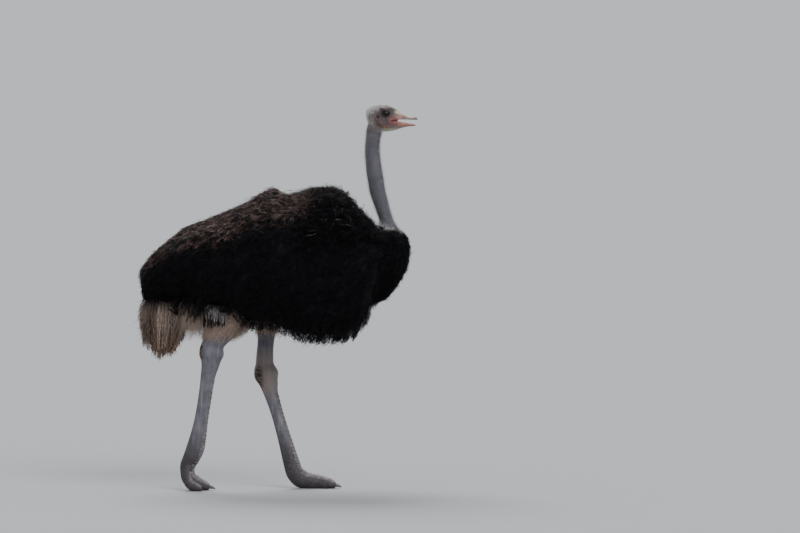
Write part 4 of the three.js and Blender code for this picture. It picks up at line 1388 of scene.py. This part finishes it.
BELLY_TUFTS = 9000
x = rng.uniform(-0.42, 0.20, BELLY_TUFTS)
turn = rng.uniform(1.62, 2 * np.pi - 1.62, BELLY_TUFTS)
on, outward = trunk_surface(x, turn)
lie = unit(body_point(x - 0.01, turn, -SKIN_DEPTH) - on + [0, 0, -0.004])
long = np.full(BELLY_TUFTS, 0.034)
grow("belly_down", (on, outward, lie), (x, turn), on[:, 2] < BEIGE_TOP, long, 0.3, 0.0012, 41)

VENT_TUFTS = 8500
HIND = -0.33  # behind this the fluff comes out from under the black plumes
x = rng.uniform(-0.44, -0.17, VENT_TUFTS)
turn = rng.uniform(1.75, 2 * np.pi - 1.75, VENT_TUFTS)
on, outward = trunk_surface(x, turn)
astray = np.where(x < HIND, 0.07, 0.22)[:, None]
lie = unit(rng.normal(0, 1, (VENT_TUFTS, 3)) * astray + [-0.12, 0, -1.0])
high = on[:, 2]
kept = (high < np.where(x < HIND, 1.04, BEIGE_TOP + 0.01)) & (np.abs(on[:, 1]) < 0.13)
long = 0.050 + 0.055 * rng.uniform(0, 1, VENT_TUFTS) ** 2
long = np.where(x < HIND, np.maximum(high - rng.uniform(0.730, 0.805, VENT_TUFTS), 0.03), long)
grow("vent_fluff", (on, outward, lie), (x, turn), kept, long, 0.12, 0.0011, 42)

# %% [markdown]
# ## Eyes, claws and scales
# Small hard things stay pieces of their own. Scales on the front of the shank and on the toes are
# curved plates: a grid laid on the limb, thickened and bevelled, each plate's lower edge over the next.

# %% Eyes
def eye(side):
    bm = bmesh.new()
    bmesh.ops.create_uvsphere(bm, u_segments=48, v_segments=32, radius=EYE_RADIUS)
    outward = Vector((0.06, side, 0.03)).normalized()
    for corner in bm.verts:
        facing = corner.co.normalized().dot(outward)
        corner.co += outward * 0.0016 * max(0.0, (facing - 0.80) / 0.20) ** 1.5
    bmesh.ops.translate(bm, verts=bm.verts, vec=to_side(EYE, side))
    made = as_object("eyeball_" + ("left" if side > 0 else "right"), bm)
    points = corners_of(made) - np.array(to_side(EYE, side))
    facing = unit(points) @ np.array(outward)
    mask(made, "facing", facing)
    shade_smooth(made)
    return made


eyes = [eye(side) for side in SIDES.values()]

# %% Claws
def claw(name, leg):
    made = grounded(as_object(f"claw_{name}_horn", limb(on_side(leg["claw"], leg["side"]), 32, 40)))
    shade_smooth(made)
    return made


claws = {name: claw(name, leg) for name, leg in LEGS.items()}

# %% Scales
PLATE_THICK = 0.0018
PLATE_OVERLAP = 1.12  # a plate's length as a share of the space between plates


def scale_plates(name, stops, first, last, count, spread):
    """A row of plates on the front of a limb, from one place along it to another."""
    whole = bmesh.new()
    step = (last - first) / count
    for k in range(count):
        bm = bmesh.new()
        bmesh.ops.create_grid(bm, x_segments=14, y_segments=4, size=0.5)
        corners = np.array([v.co for v in bm.verts])
        lower = corners[:, 1] + 0.5
        wide = spread * (1 - 0.16 * (2 * lower - 1) ** 2) * (1 + 0.05 * np.sin(9.1 * k))
        t = first + step * (k + lower * PLATE_OVERLAP - 0.02 * np.sin(5.3 * k))
        turn = corners[:, 0] * 2 * wide + 0.03 * np.sin(7.7 * k)
        bow = 0.25 * step * (1 - (2 * corners[:, 0]) ** 2) * lower
        lift = -0.0012 + 0.0030 * lower
        points = limb_point(stops, t + bow, turn, lift)
        for corner, point in zip(bm.verts, points):
            corner.co = point
        bmesh.ops.recalc_face_normals(bm, faces=bm.faces)
        part = bpy.data.meshes.new("plate")
        bm.to_mesh(part)
        bm.free()
        whole.from_mesh(part)
        bpy.data.meshes.remove(part)
    made = as_object(name, whole)
    thick = made.modifiers.new("thick", "SOLIDIFY")
    thick.thickness = PLATE_THICK
    thick.offset = 0
    rim = made.modifiers.new("rim", "BEVEL")
    rim.width = 0.0005
    rim.segments = 2
    rim.limit_method = "ANGLE"
    settle(made)
    points = corners_of(made)
    points[:, 2] = np.maximum(points[:, 2], 0.0004)
    move_corners(made, points)
    shade_smooth(made)
    return made


scales = []
for name, leg in LEGS.items():
    stops = on_side(leg["leg"], leg["side"])
    last = len(leg["leg"]) - 1
    ankle, knuckle = leg["ankle"] / last, leg["knuckle"] / last
    scales.append(scale_plates(f"shank_{name}_scales", stops, ankle + 0.10, knuckle + 0.01, 22, 0.95))
    scales.append(scale_plates(f"toe_big_{name}_scales", stops, knuckle + 0.015, 0.975, 15, 1.05))
    small = on_side(leg["small"], leg["side"])
    scales.append(scale_plates(f"toe_small_{name}_scales", small, 0.16, 0.93, 11, 1.1))
print("scales", [triangles(made) for made in scales])

# %% [markdown]
# ## Materials
# Each finish is a small sum of noises and masks. Writing those sums as Python expressions keeps them
# readable: Wire wraps a socket and turns + - * into Math nodes, and Bench.node adds any other node.

# %% A bench for materials
class Wire:
    """A node's output. Sums on it add Math nodes to the same material."""

    def __init__(self, bench, socket):
        self.bench = bench
        self.socket = socket

    def __add__(self, other):
        return self.bench.maths("ADD", self, other)

    def __radd__(self, other):
        return self.bench.maths("ADD", other, self)

    def __sub__(self, other):
        return self.bench.maths("SUBTRACT", self, other)

    def __rsub__(self, other):
        return self.bench.maths("SUBTRACT", other, self)

    def __mul__(self, other):
        return self.bench.maths("MULTIPLY", self, other)

    def __rmul__(self, other):
        return self.bench.maths("MULTIPLY", other, self)


class Bench:
    """One material's nodes, fed into its Principled shader."""

    def __init__(self, name, **fixed):
        self.material = bpy.data.materials.new(name)
        self.material.use_nodes = True
        self.tree = self.material.node_tree
        self.shader = next(node for node in self.tree.nodes if node.type == "BSDF_PRINCIPLED")
        for socket, value in fixed.items():
            self.shader.inputs[socket.replace("_", " ")].default_value = value

    def feed(self, socket, value):
        if isinstance(value, Wire):
            self.tree.links.new(value.socket, socket)
        else:
            socket.default_value = value

    def node(self, kind, settings=None, inputs=None, output=0):
        made = self.tree.nodes.new(kind)
        for key, value in (settings or {}).items():
            setattr(made, key, value)
        for key, value in (inputs or {}).items():
            self.feed(made.inputs[key], value)
        return Wire(self, made.outputs[output])

    def maths(self, operation, *values):
        return self.node("ShaderNodeMath", {"operation": operation}, dict(enumerate(values)))

    def clamp(self, value):
        return self.node("ShaderNodeClamp", inputs={0: value})

    def step(self, value, low, high):
        settings = {"interpolation_type": "SMOOTHSTEP"}
        return self.node("ShaderNodeMapRange", settings, {0: value, 1: low, 2: high})

    def blend(self, factor, first, second):
        """Mixes two colours, each a wire or three numbers."""
        first, second = (c if isinstance(c, Wire) else (*c, 1) for c in (first, second))
        inputs = {0: factor, 6: first, 7: second}
        return self.node("ShaderNodeMix", {"data_type": "RGBA"}, inputs, 2)

    def read(self, name):
        return self.node("ShaderNodeAttribute", {"attribute_name": name}, output=2)

    def place(self, stretch=(1, 1, 1)):
        where = self.node("ShaderNodeTexCoord", output=3)
        return self.node("ShaderNodeMapping", inputs={0: where, 3: stretch})

    def noise(self, scale, detail=3.0, stretch=(1, 1, 1)):
        inputs = {"Vector": self.place(stretch), "Scale": scale, "Detail": detail}
        return self.node("ShaderNodeTexNoise", inputs=inputs)

    def axis(self, number):
        return self.node("ShaderNodeSeparateXYZ", inputs={0: self.place()}, output=number)

    def cells(self, scale):
        """How far it is to the edge of the nearest cell."""
        inputs = {"Vector": self.place(), "Scale": scale}
        return self.node("ShaderNodeTexVoronoi", {"feature": "DISTANCE_TO_EDGE"}, inputs)

    def relief(self, height, distance, strength, under=None):
        inputs = {"Strength": strength, "Distance": distance, "Height": height}
        if under is not None:
            inputs["Normal"] = under
        return self.node("ShaderNodeBump", inputs=inputs)

    def finish(self, **wires):
        for socket, value in wires.items():
            self.feed(self.shader.inputs[socket.replace("_", " ")], value)
        return self.material


def coated(made, material):
    made.data.materials.clear()
    made.data.materials.append(material)


# %% [markdown]
# The plumes are black. Where the sun falls on the loose ends on the back, a brown is painted in as
# sunlight, and a few locks get a painted pale glint highlight. The masks tip, shade and lit, stored
# with each plume, say how far along it a corner is, which plume it belongs to, and how much painted
# sunlight it takes.

# %% Plume finishes
PLUME_DARK, PLUME_BRIGHT = (0.0014, 0.0015, 0.0028), (0.0075, 0.0065, 0.0085)
SUNLIT_BROWN = (0.27, 0.170, 0.148)  # the brown of black plumes, painted in where sunlight falls
# A painted pale highlight for glinting locks.
GLINT = (0.20, 0.165, 0.17)


def plume_finish():
    bench = Bench("black plumes", Specular_IOR_Level=0.12)
    tip, shade, lit = bench.read("tip"), bench.read("shade"), bench.read("lit")
    streak = bench.noise(160.0, 2.0)
    share = bench.clamp(tip * 0.5 + shade * 0.35 + streak * 0.3 - 0.2)
    body = bench.blend(share, PLUME_DARK, PLUME_BRIGHT)
    clumps = bench.step(bench.noise(42.0, 3.0, (0.6, 1, 1)), 0.41, 0.56)
    # Painted sunlight: clumps of loose ends on the back turn brown as if lit, and locks whose lit is near
    # 1 get a painted pale glint.
    sunlight_and_wear = bench.step(streak + tip * 0.5 + shade * 0.3, 0.66, 1.0) * lit * 1.15 * (0.12 + clumps * 0.88)
    colour = bench.blend(bench.clamp(sunlight_and_wear), body, SUNLIT_BROWN)
    colour = bench.blend(bench.step(lit, 0.93, 0.97) * bench.step(tip, 0.3, 0.6), colour, GLINT)
    rough = 0.55 + 0.25 * bench.noise(60.0)
    barbs = bench.relief(bench.noise(110.0, 3.0, (0.5, 1, 1)), 0.006, 0.9)
    return bench.finish(Base_Color=colour, Roughness=rough, Normal=barbs)


black_plumes = plume_finish()


def flight_finish():
    bench = Bench("pale flight feathers", Specular_IOR_Level=0.15)
    tip, shade = bench.read("tip"), bench.read("shade")
    streak = bench.noise(150.0, 3.0, (1, 1, 0.15))
    share = bench.clamp(shade * 0.7 + streak * 0.5 - 0.1)
    vane = bench.blend(share, (0.10, 0.092, 0.098), (0.30, 0.28, 0.28))
    # Dark at the very tips, and all over the row behind, where the dark is painted shade.
    dark = bench.clamp(bench.step(tip + streak * 0.16, 0.90, 1.02) + bench.read("lit"))
    colour = bench.blend(dark, vane, (0.006, 0.005, 0.006))
    return bench.finish(Base_Color=colour, Roughness=0.5 + 0.25 * streak)


pale_plumes = flight_finish()


def tail_finish():
    bench = Bench("limp tail plumes", Roughness=0.7, Specular_IOR_Level=0.25)
    tip, shade = bench.read("tip"), bench.read("shade")
    streak = bench.noise(90.0, 3.0, (1, 1, 0.12))
    share = bench.clamp(shade * 1.1 + streak * 0.6 - 0.35)
    pale = bench.blend(share, (0.080, 0.052, 0.042), (0.44, 0.345, 0.285))
    # The tail's tips are worn brown.
    sunlight_and_wear = bench.blend(bench.step(tip + streak * 0.35, 0.72, 1.15), pale, (0.15, 0.085, 0.045))
    root = bench.step(bench.axis(2) + streak * 0.03, 0.86, 0.94)
    return bench.finish(Base_Color=bench.blend(root, sunlight_and_wear, (0.02, 0.017, 0.017)))


def down_finish(name, base, end, tipped=0.6):
    """Down that turns from the base colour to the end colour, the more towards its tips."""
    bench = Bench(name, Roughness=0.75, Specular_IOR_Level=0.2)
    tip, shade = bench.read("tip"), bench.read("shade")
    share = tip * tipped + shade * 0.5 + (0.2 - 0.5 * tipped)
    return bench.finish(Base_Color=bench.blend(bench.clamp(share), base, end))


tail_plumes = tail_finish()
white_down = down_finish("white down", (0.50, 0.48, 0.47), (0.93, 0.92, 0.90))
neck_down = down_finish("neck down", (0.035, 0.033, 0.045), (0.92, 0.91, 0.92), 2.4)
beige_down = down_finish("beige down", (0.30, 0.215, 0.17), (0.58, 0.47, 0.39))
dark_bristles = down_finish("dark bristles", (0.012, 0.010, 0.010), (0.10, 0.08, 0.07))

# %% [markdown]
# ## One finish for the whole skin
# The skin carries the same markings as the coat over it: black under the plumes, beige-pink on thighs
# and belly, slate blue on the bare legs, grey-violet on the neck, cream at the forehead and throat,
# and red flesh at the corners of the mouth, with painted shade in their crease. Painted shade also
# lies round the eyes, and the feet turn darker towards the floor. Each marking is a mask worked out
# from where a corner lies.

# %% Markings of the skin
NECK_STARTS = (1.18, 1.24)  # heights over which the trunk's markings turn into the neck's
HEAD_STARTS = (1.665, 1.785)  # and the neck's into the head's
MIDDLE_SAMPLES = 60  # points on a limb's middle line that nearness is measured to


def spot(points, middle, half):
    """1 well inside an oval, fading to 0 at one and a half times its size."""
    reach = np.linalg.norm((points - middle) / half, axis=1)
    return 1 - smooth_step(reach, 0.75, 1.5)


def near_limb(points, stops, first, last):
    """How near points lie to a stretch of a limb's middle line, in limb radii."""
    t = np.linspace(first, last, MIDDLE_SAMPLES) / (len(stops) - 1)
    middle = limb_point(stops * [1, 1, 1, 0, 0], t, np.zeros(MIDDLE_SAMPLES))
    radius = along(np.column_stack([np.arange(len(stops)), stops]), t * (len(stops) - 1))[:, 3]
    nearest = np.full(len(points), 9.0)
    for where, size in zip(middle, radius):
        nearest = np.minimum(nearest, np.linalg.norm(points - where, axis=1) / size)
    return nearest


def head_at(points):
    return smooth_step(points[:, 2], *HEAD_STARTS) * (points[:, 0] > 0.4)


def mark_skin(made):
    points = corners_of(made)
    x, y, z = points.T
    leg_high = np.where(y > 0, LEGS["left"]["hem"], LEGS["right"]["hem"])
    leg_high = leg_high + 0.012 * np.sin(60 * x + 90 * y) - 0.01
    leg = (1 - smooth_step(z, leg_high - 0.02, leg_high + 0.02)) * (x < 0.35)
    on_neck = smooth_step(z, *NECK_STARTS) * (x > 0.38)
    body_turn = np.arctan2(y, z - along(BODY_LINE, x)[:, 0])
    plume_line = smooth_step(np.abs(body_turn) / DEGREE, 98, 108)
    plume_line = plume_line * (x < 0.19) * smooth_step(x, -0.44, -0.41)
    under_plumes = 1 - smooth_step(z, BEIGE_TOP - 0.01, BEIGE_TOP + 0.01)
    thigh = np.zeros(len(points))
    for leg_stops in LEGS.values():
        stops = on_side(leg_stops["leg"], leg_stops["side"])
        near = near_limb(points, stops, 1, leg_stops["ankle"] - 1)
        thigh = np.maximum(thigh, 1 - smooth_step(near, 0.95, 1.1))
    beige = np.clip(np.maximum(plume_line, thigh), 0, 1) * (1 - on_neck) * under_plumes
    black = (1 - beige) * (1 - on_neck) * (z > 0.6)
    off = z - along(millimetres([530, 1768], [562, 1771], [600, 1772]), x)[:, 0]
    gape = bell(off, 0, np.where(off > 0, 0.011, 0.017)) * smooth_step(x, 0.524, 0.548) * (z > 1.72)
    gape = gape * (1 - 0.85 * smooth_step(x, 0.576, 0.592))
    cream = spot(points, (0.588, 0, 1.809), (0.034, 0.03, 0.011))
    cream = cream + 0.9 * spot(points, (0.556, 0, 1.724), (0.058, 0.03, 0.015))
    rusty = spot(points, (0.517, 0, 1.741), (0.026, 0.06, 0.010)) * head_at(points)
    # Painted shade under the brows, round the eyes and behind them towards the ears.
    dusky = spot(points, (0.497, 0, 1.797), (0.020, 0.08, 0.012))
    dusky = np.maximum(dusky, spot(points, (0.522, 0, 1.807), (0.033, 0.09, 0.024)) * 0.85)
    dusky = dusky * (np.abs(y) > 0.02)
    foot = 1 - smooth_step(z, 0.13, 0.33)
    callus = spot(points, (-0.372, -0.117, 0.668), (0.020, 0.090, 0.052))
    callus = np.maximum(callus, spot(points, (-0.098, 0.124, 0.525), (0.026, 0.090, 0.056)))
    weathered = spot(points, (-0.080, 0.124, 0.545), (0.075, 0.09, 0.105))
    masks = {"leg": leg, "foot": foot * leg, "callus": callus, "weathered": weathered}
    masks |= {"beige": beige, "black": black, "headed": head_at(points)}
    masks |= {"gape": gape, "cream": cream, "dusky": dusky, "rusty": rusty}
    for name, values in masks.items():
        mask(made, name, values)


def skin_finish():
    bench = Bench("skin", Specular_IOR_Level=0.35)
    mottle = bench.noise(28.0, 5.0)
    fine = bench.noise(240.0, 4.0)
    long_streak = bench.noise(60.0, 3.0, (1, 1, 0.12))
    neck = bench.blend(bench.clamp(mottle * 1.6 - 0.4), (0.018, 0.018, 0.030), (0.060, 0.055, 0.076))
    neck = bench.blend(bench.step(long_streak, 0.52, 0.72) * 0.5, neck, (0.16, 0.15, 0.17))
    face = bench.blend(bench.clamp(mottle * 1.8 - 0.5), (0.045, 0.032, 0.032), (0.165, 0.112, 0.100))
    face = bench.blend(bench.step(fine, 0.55, 0.75) * 0.5, face, (0.27, 0.20, 0.17))
    blotch = bench.step(bench.noise(95.0, 3.0), 0.50, 0.64)
    face = bench.blend(blotch * 0.6, face, (0.030, 0.022, 0.024))
    skin = bench.blend(bench.read("headed"), neck, face)
    slate = bench.blend(bench.clamp(mottle * 1.5 - 0.3), (0.068, 0.067, 0.088), (0.165, 0.158, 0.185))
    slate = bench.blend(bench.step(long_streak, 0.5, 0.8) * 0.55, slate, (0.27, 0.245, 0.24))
    slate = bench.blend(bench.step(long_streak, 0.46, 0.30) * 0.5, slate, (0.055, 0.050, 0.055))
    cracks = bench.step(bench.cells(60.0), 0.10, 0.02)
    # The foot turns darker towards the floor, with paler cracks.
    low_foot_tone = bench.blend(cracks * 0.4, (0.024, 0.020, 0.022), (0.085, 0.075, 0.072))
    slate = bench.blend(bench.read("foot") * 0.9, slate, low_foot_tone)
    slate = bench.blend(bench.read("weathered") * (0.45 + fine * 0.5), slate, (0.235, 0.190, 0.170))
    creases = bench.noise(42.0, 3.0, (0.6, 0.6, 2.6))
    rough_pad = bench.blend(bench.step(creases, 0.42, 0.60), (0.016, 0.012, 0.011), (0.125, 0.085, 0.062))
    slate = bench.blend(bench.read("callus"), slate, rough_pad)
    skin = bench.blend(bench.read("leg"), skin, slate)
    thigh = bench.blend(bench.clamp(mottle * 1.6 - 0.3), (0.25, 0.17, 0.14), (0.42, 0.315, 0.265))
    skin = bench.blend(bench.read("beige") * (1 - bench.read("leg")), skin, thigh)
    skin = bench.blend(bench.read("black"), skin, (0.008, 0.007, 0.008))
    # Painted shade round the eyes.
    skin = bench.blend(bench.read("dusky") * 0.75, skin, (0.022, 0.017, 0.020))
    skin = bench.blend(bench.clamp(bench.read("cream") * (0.6 + fine * 0.5)), skin, (0.50, 0.43, 0.30))
    skin = bench.blend(bench.read("rusty") * (0.3 + fine * 0.6), skin, (0.30, 0.145, 0.075))
    x, height = bench.axis(0), bench.axis(2)
    bill_side = bench.step(x, 0.554, 0.586) * bench.read("headed")
    lower = bench.step(height, 1.770, 1.766) * bench.step(height, 1.742, 1.750)
    upper = bench.step(height, 1.772, 1.776) * bench.step(height, 1.803, 1.791)
    under = bench.step(height, 1.750, 1.743)
    skin = bench.blend(bill_side * under, skin, (0.255, 0.197, 0.152))
    skin = bench.blend(bill_side * upper, skin, (0.289, 0.156, 0.140))
    skin = bench.blend(bill_side * lower, skin, (0.295, 0.128, 0.110))
    gape = bench.read("gape")
    # The gape is red flesh; its dark core along the crease at the corner of the mouth is painted shade.
    flesh = bench.blend(bench.step(gape, 0.72, 0.96), (0.30, 0.090, 0.082), (0.12, 0.016, 0.022))
    skin = bench.blend(bench.clamp(gape * (0.6 + mottle * 0.5)), skin, flesh)
    pebbles = bench.step(bench.cells(420.0), 0.0, 0.16)
    wrinkle = bench.noise(30.0, 3.0, (1, 1, 7))
    bump = bench.relief(pebbles * 0.4 + fine * 0.5, 0.0007, 0.55)
    bump = bench.relief(wrinkle, 0.0022, 0.5, bump)
    rough = 0.48 + 0.22 * fine
    return bench.finish(Base_Color=skin, Roughness=rough, Normal=bump)


mark_skin(skin)
shade_smooth(skin)
coated(skin, skin_finish())

# %% [markdown]
# ## Horn, scales and eyes
# Horn is layered: smooth and faintly glossy, paler where it is thin. The eye is the one glossy thing on
# the bird, nearly black with a brown iris that only shows close up.

# %% Horn, scale and eye finishes
def bill_finish():
    bench = Bench("bill horn", Specular_IOR_Level=0.4, Coat_Roughness=0.3)
    fibre = bench.noise(120.0, 3.0, (0.15, 1, 1))
    x, height = bench.axis(0), bench.axis(2)
    horn = bench.blend(fibre, (0.20, 0.135, 0.130), (0.36, 0.26, 0.24))
    below = bench.step(height, 1.768, 1.764)
    rosy = bench.clamp(bench.step(x, 0.640, 0.595) * 0.45 + below * 0.75)
    horn = bench.blend(rosy, horn, (0.30, 0.105, 0.085))
    root = bench.step(x, 0.645, 0.600)
    horn = bench.blend(bench.step(height, 1.749, 1.743) * root * 0.85, horn, (0.25, 0.200, 0.155))
    # The nostril slit is painted dark: painted shade inside the opening.
    aside = bench.maths("ABSOLUTE", x - float(NOSTRIL[0]))
    off = bench.maths("ABSOLUTE", height - float(NOSTRIL[2]))
    slit = bench.step(aside, 0.013, 0.008) * bench.step(off, 0.0030, 0.0014)
    horn = bench.blend(slit * 0.9, horn, (0.045, 0.012, 0.014))
    edge = bench.step(height, 1.774, 1.776) * bench.step(height, 1.7815, 1.7785)
    horn = bench.blend(edge * 0.9, horn, (0.025, 0.018, 0.018))
    horn = bench.blend(bench.step(x, 0.652, 0.668) * (1 - below) * 0.7, horn, (0.10, 0.065, 0.055))
    growth = bench.relief(fibre, 0.0004, 0.4)
    return bench.finish(Base_Color=horn, Roughness=0.34 + 0.2 * fibre, Normal=growth)


def claw_finish():
    bench = Bench("claw horn", Specular_IOR_Level=0.45)
    fibre = bench.noise(150.0, 3.0, (0.15, 1, 1))
    return bench.finish(
        Base_Color=bench.blend(fibre, (0.03, 0.025, 0.022), (0.16, 0.13, 0.11)),
        Roughness=0.35 + 0.25 * fibre,
        Normal=bench.relief(fibre, 0.0005, 0.5),
    )


def scale_finish():
    bench = Bench("scales", Specular_IOR_Level=0.4)
    mottle, fine = bench.noise(45.0, 4.0), bench.noise(300.0, 3.0)
    colour = bench.blend(bench.clamp(mottle * 1.7 - 0.4), (0.060, 0.056, 0.066), (0.19, 0.175, 0.18))
    colour = bench.blend(bench.step(fine, 0.55, 0.75) * 0.4, colour, (0.27, 0.225, 0.19))
    grain = bench.relief(fine, 0.0004, 0.5)
    return bench.finish(Base_Color=colour, Roughness=0.42 + 0.3 * fine, Normal=grain)


def eye_finish():
    bench = Bench("eye", Roughness=0.06, Specular_IOR_Level=0.2, Coat_Weight=0.2, Coat_Roughness=0.03)
    facing = bench.read("facing")
    iris = bench.blend(bench.noise(300.0), (0.005, 0.0035, 0.003), (0.016, 0.009, 0.006))
    colour = bench.blend(bench.step(facing, 0.905, 0.925), iris, (0.003, 0.003, 0.003))
    colour = bench.blend(bench.step(facing, 0.70, 0.66), colour, (0.05, 0.04, 0.035))
    return bench.finish(Base_Color=colour)


bill_horn = bill_finish()
claw_horn = claw_finish()
scale_skin = scale_finish()
eye_dark = eye_finish()

# %% Which piece has which finish, and which solids it stands for
for made in [mass, *coat]:
    if "flight" in made.name:
        coated(made, pale_plumes)
    elif made.name == "tail_plumes":
        coated(made, tail_plumes)
    else:
        coated(made, black_plumes)
    if made.name.startswith("wing"):
        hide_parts("wing_" + made.name.split("_")[1])
    else:
        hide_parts("tail" if made.name == "tail_plumes" else "torso")
for made in down_pieces:
    beige = made.name.split("_")[0] in ("thigh", "belly", "vent")
    if beige:
        coated(made, beige_down)
    elif made.name in ("face_bristles", "lashes"):
        coated(made, dark_bristles)
    else:
        coated(made, neck_down if made.name == "neck_down" else white_down)
for made in scales:
    coated(made, scale_skin)
for made in (bill_upper, bill_lower):
    coated(made, bill_horn)
    shade_smooth(made)
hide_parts("bill_upper")
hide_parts("bill_lower")
for made, name in zip(eyes, SIDES):
    coated(made, eye_dark)
    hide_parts("eye_" + name)
for name, made in claws.items():
    coated(made, claw_horn)
    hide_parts("claw_" + name)
flesh = ["neck_lower", "neck_middle", "neck_upper", "head"]
for name in LEGS:
    flesh += [f"{part}_{name}" for part in ("drumstick", "shank", "toe_big", "toe_small")]
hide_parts(*flesh)
for made in [skin, mass, bill_upper, bill_lower, *coat, *down_pieces, *scales, *eyes, *claws.values()]:
    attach(made, "root")

# %% [markdown]
# ## Floor, light and camera
# A pale floor, a pale world and two wide, soft suns: one from the front, and one from behind that
# catches the loose ends. The floor's colour is worked out so that, lit by all of them, it is as bright
# as the world behind it and no horizon shows. A long lens from twenty metres keeps the proportions true.

# %% Studio
SKY = np.array([0.86, 0.88, 0.91]) * 0.76
SUNS = {"key": ((0.42, -0.68, 0.60), 2.5), "rim": ((-0.20, 0.60, 0.78), 3.4)}


def soft_sun(name, from_way, strength):
    data = bpy.data.lights.new(name, "SUN")
    data.angle = 38 * DEGREE
    data.energy = strength
    lamp = bpy.data.objects.new(name, data)
    lamp.rotation_euler = Vector(from_way).to_track_quat("Z", "Y").to_euler()
    bpy.context.collection.objects.link(lamp)


sunlight = 0.0
for name, (from_way, strength) in SUNS.items():
    soft_sun(name, from_way, strength)
    sunlight += strength * Vector(from_way).normalized().z / np.pi
bm = bmesh.new()
bmesh.ops.create_circle(bm, cap_ends=True, segments=96, radius=120)
floor = as_object("floor", bm)
bench = Bench("floor", Roughness=1.0, Specular_IOR_Level=0.0)
coated(floor, bench.finish(Base_Color=(*(SKY / (SKY + sunlight)), 1)))
floor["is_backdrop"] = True
world = bpy.data.worlds.new("studio")
world.use_nodes = True
sky = next(node for node in world.node_tree.nodes if node.type == "BACKGROUND")
sky.inputs[0].default_value = (*SKY, 1)
bpy.context.scene.world = world

camera_data = bpy.data.cameras.new("camera")
camera_data.lens = 187.5
camera_data.sensor_width = 36.0
camera_data.clip_end = 500
camera = bpy.data.objects.new("camera", camera_data)
camera.location = (0.588, -20.0, 1.606)
camera.rotation_euler = ((90 - 1.533) * DEGREE, 0, 0)
bpy.context.collection.objects.link(camera)
bpy.context.scene.camera = camera

# %% Sizes and the end
bpy.context.view_layer.update()
print("triangles in all", sum(triangles(made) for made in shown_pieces()))
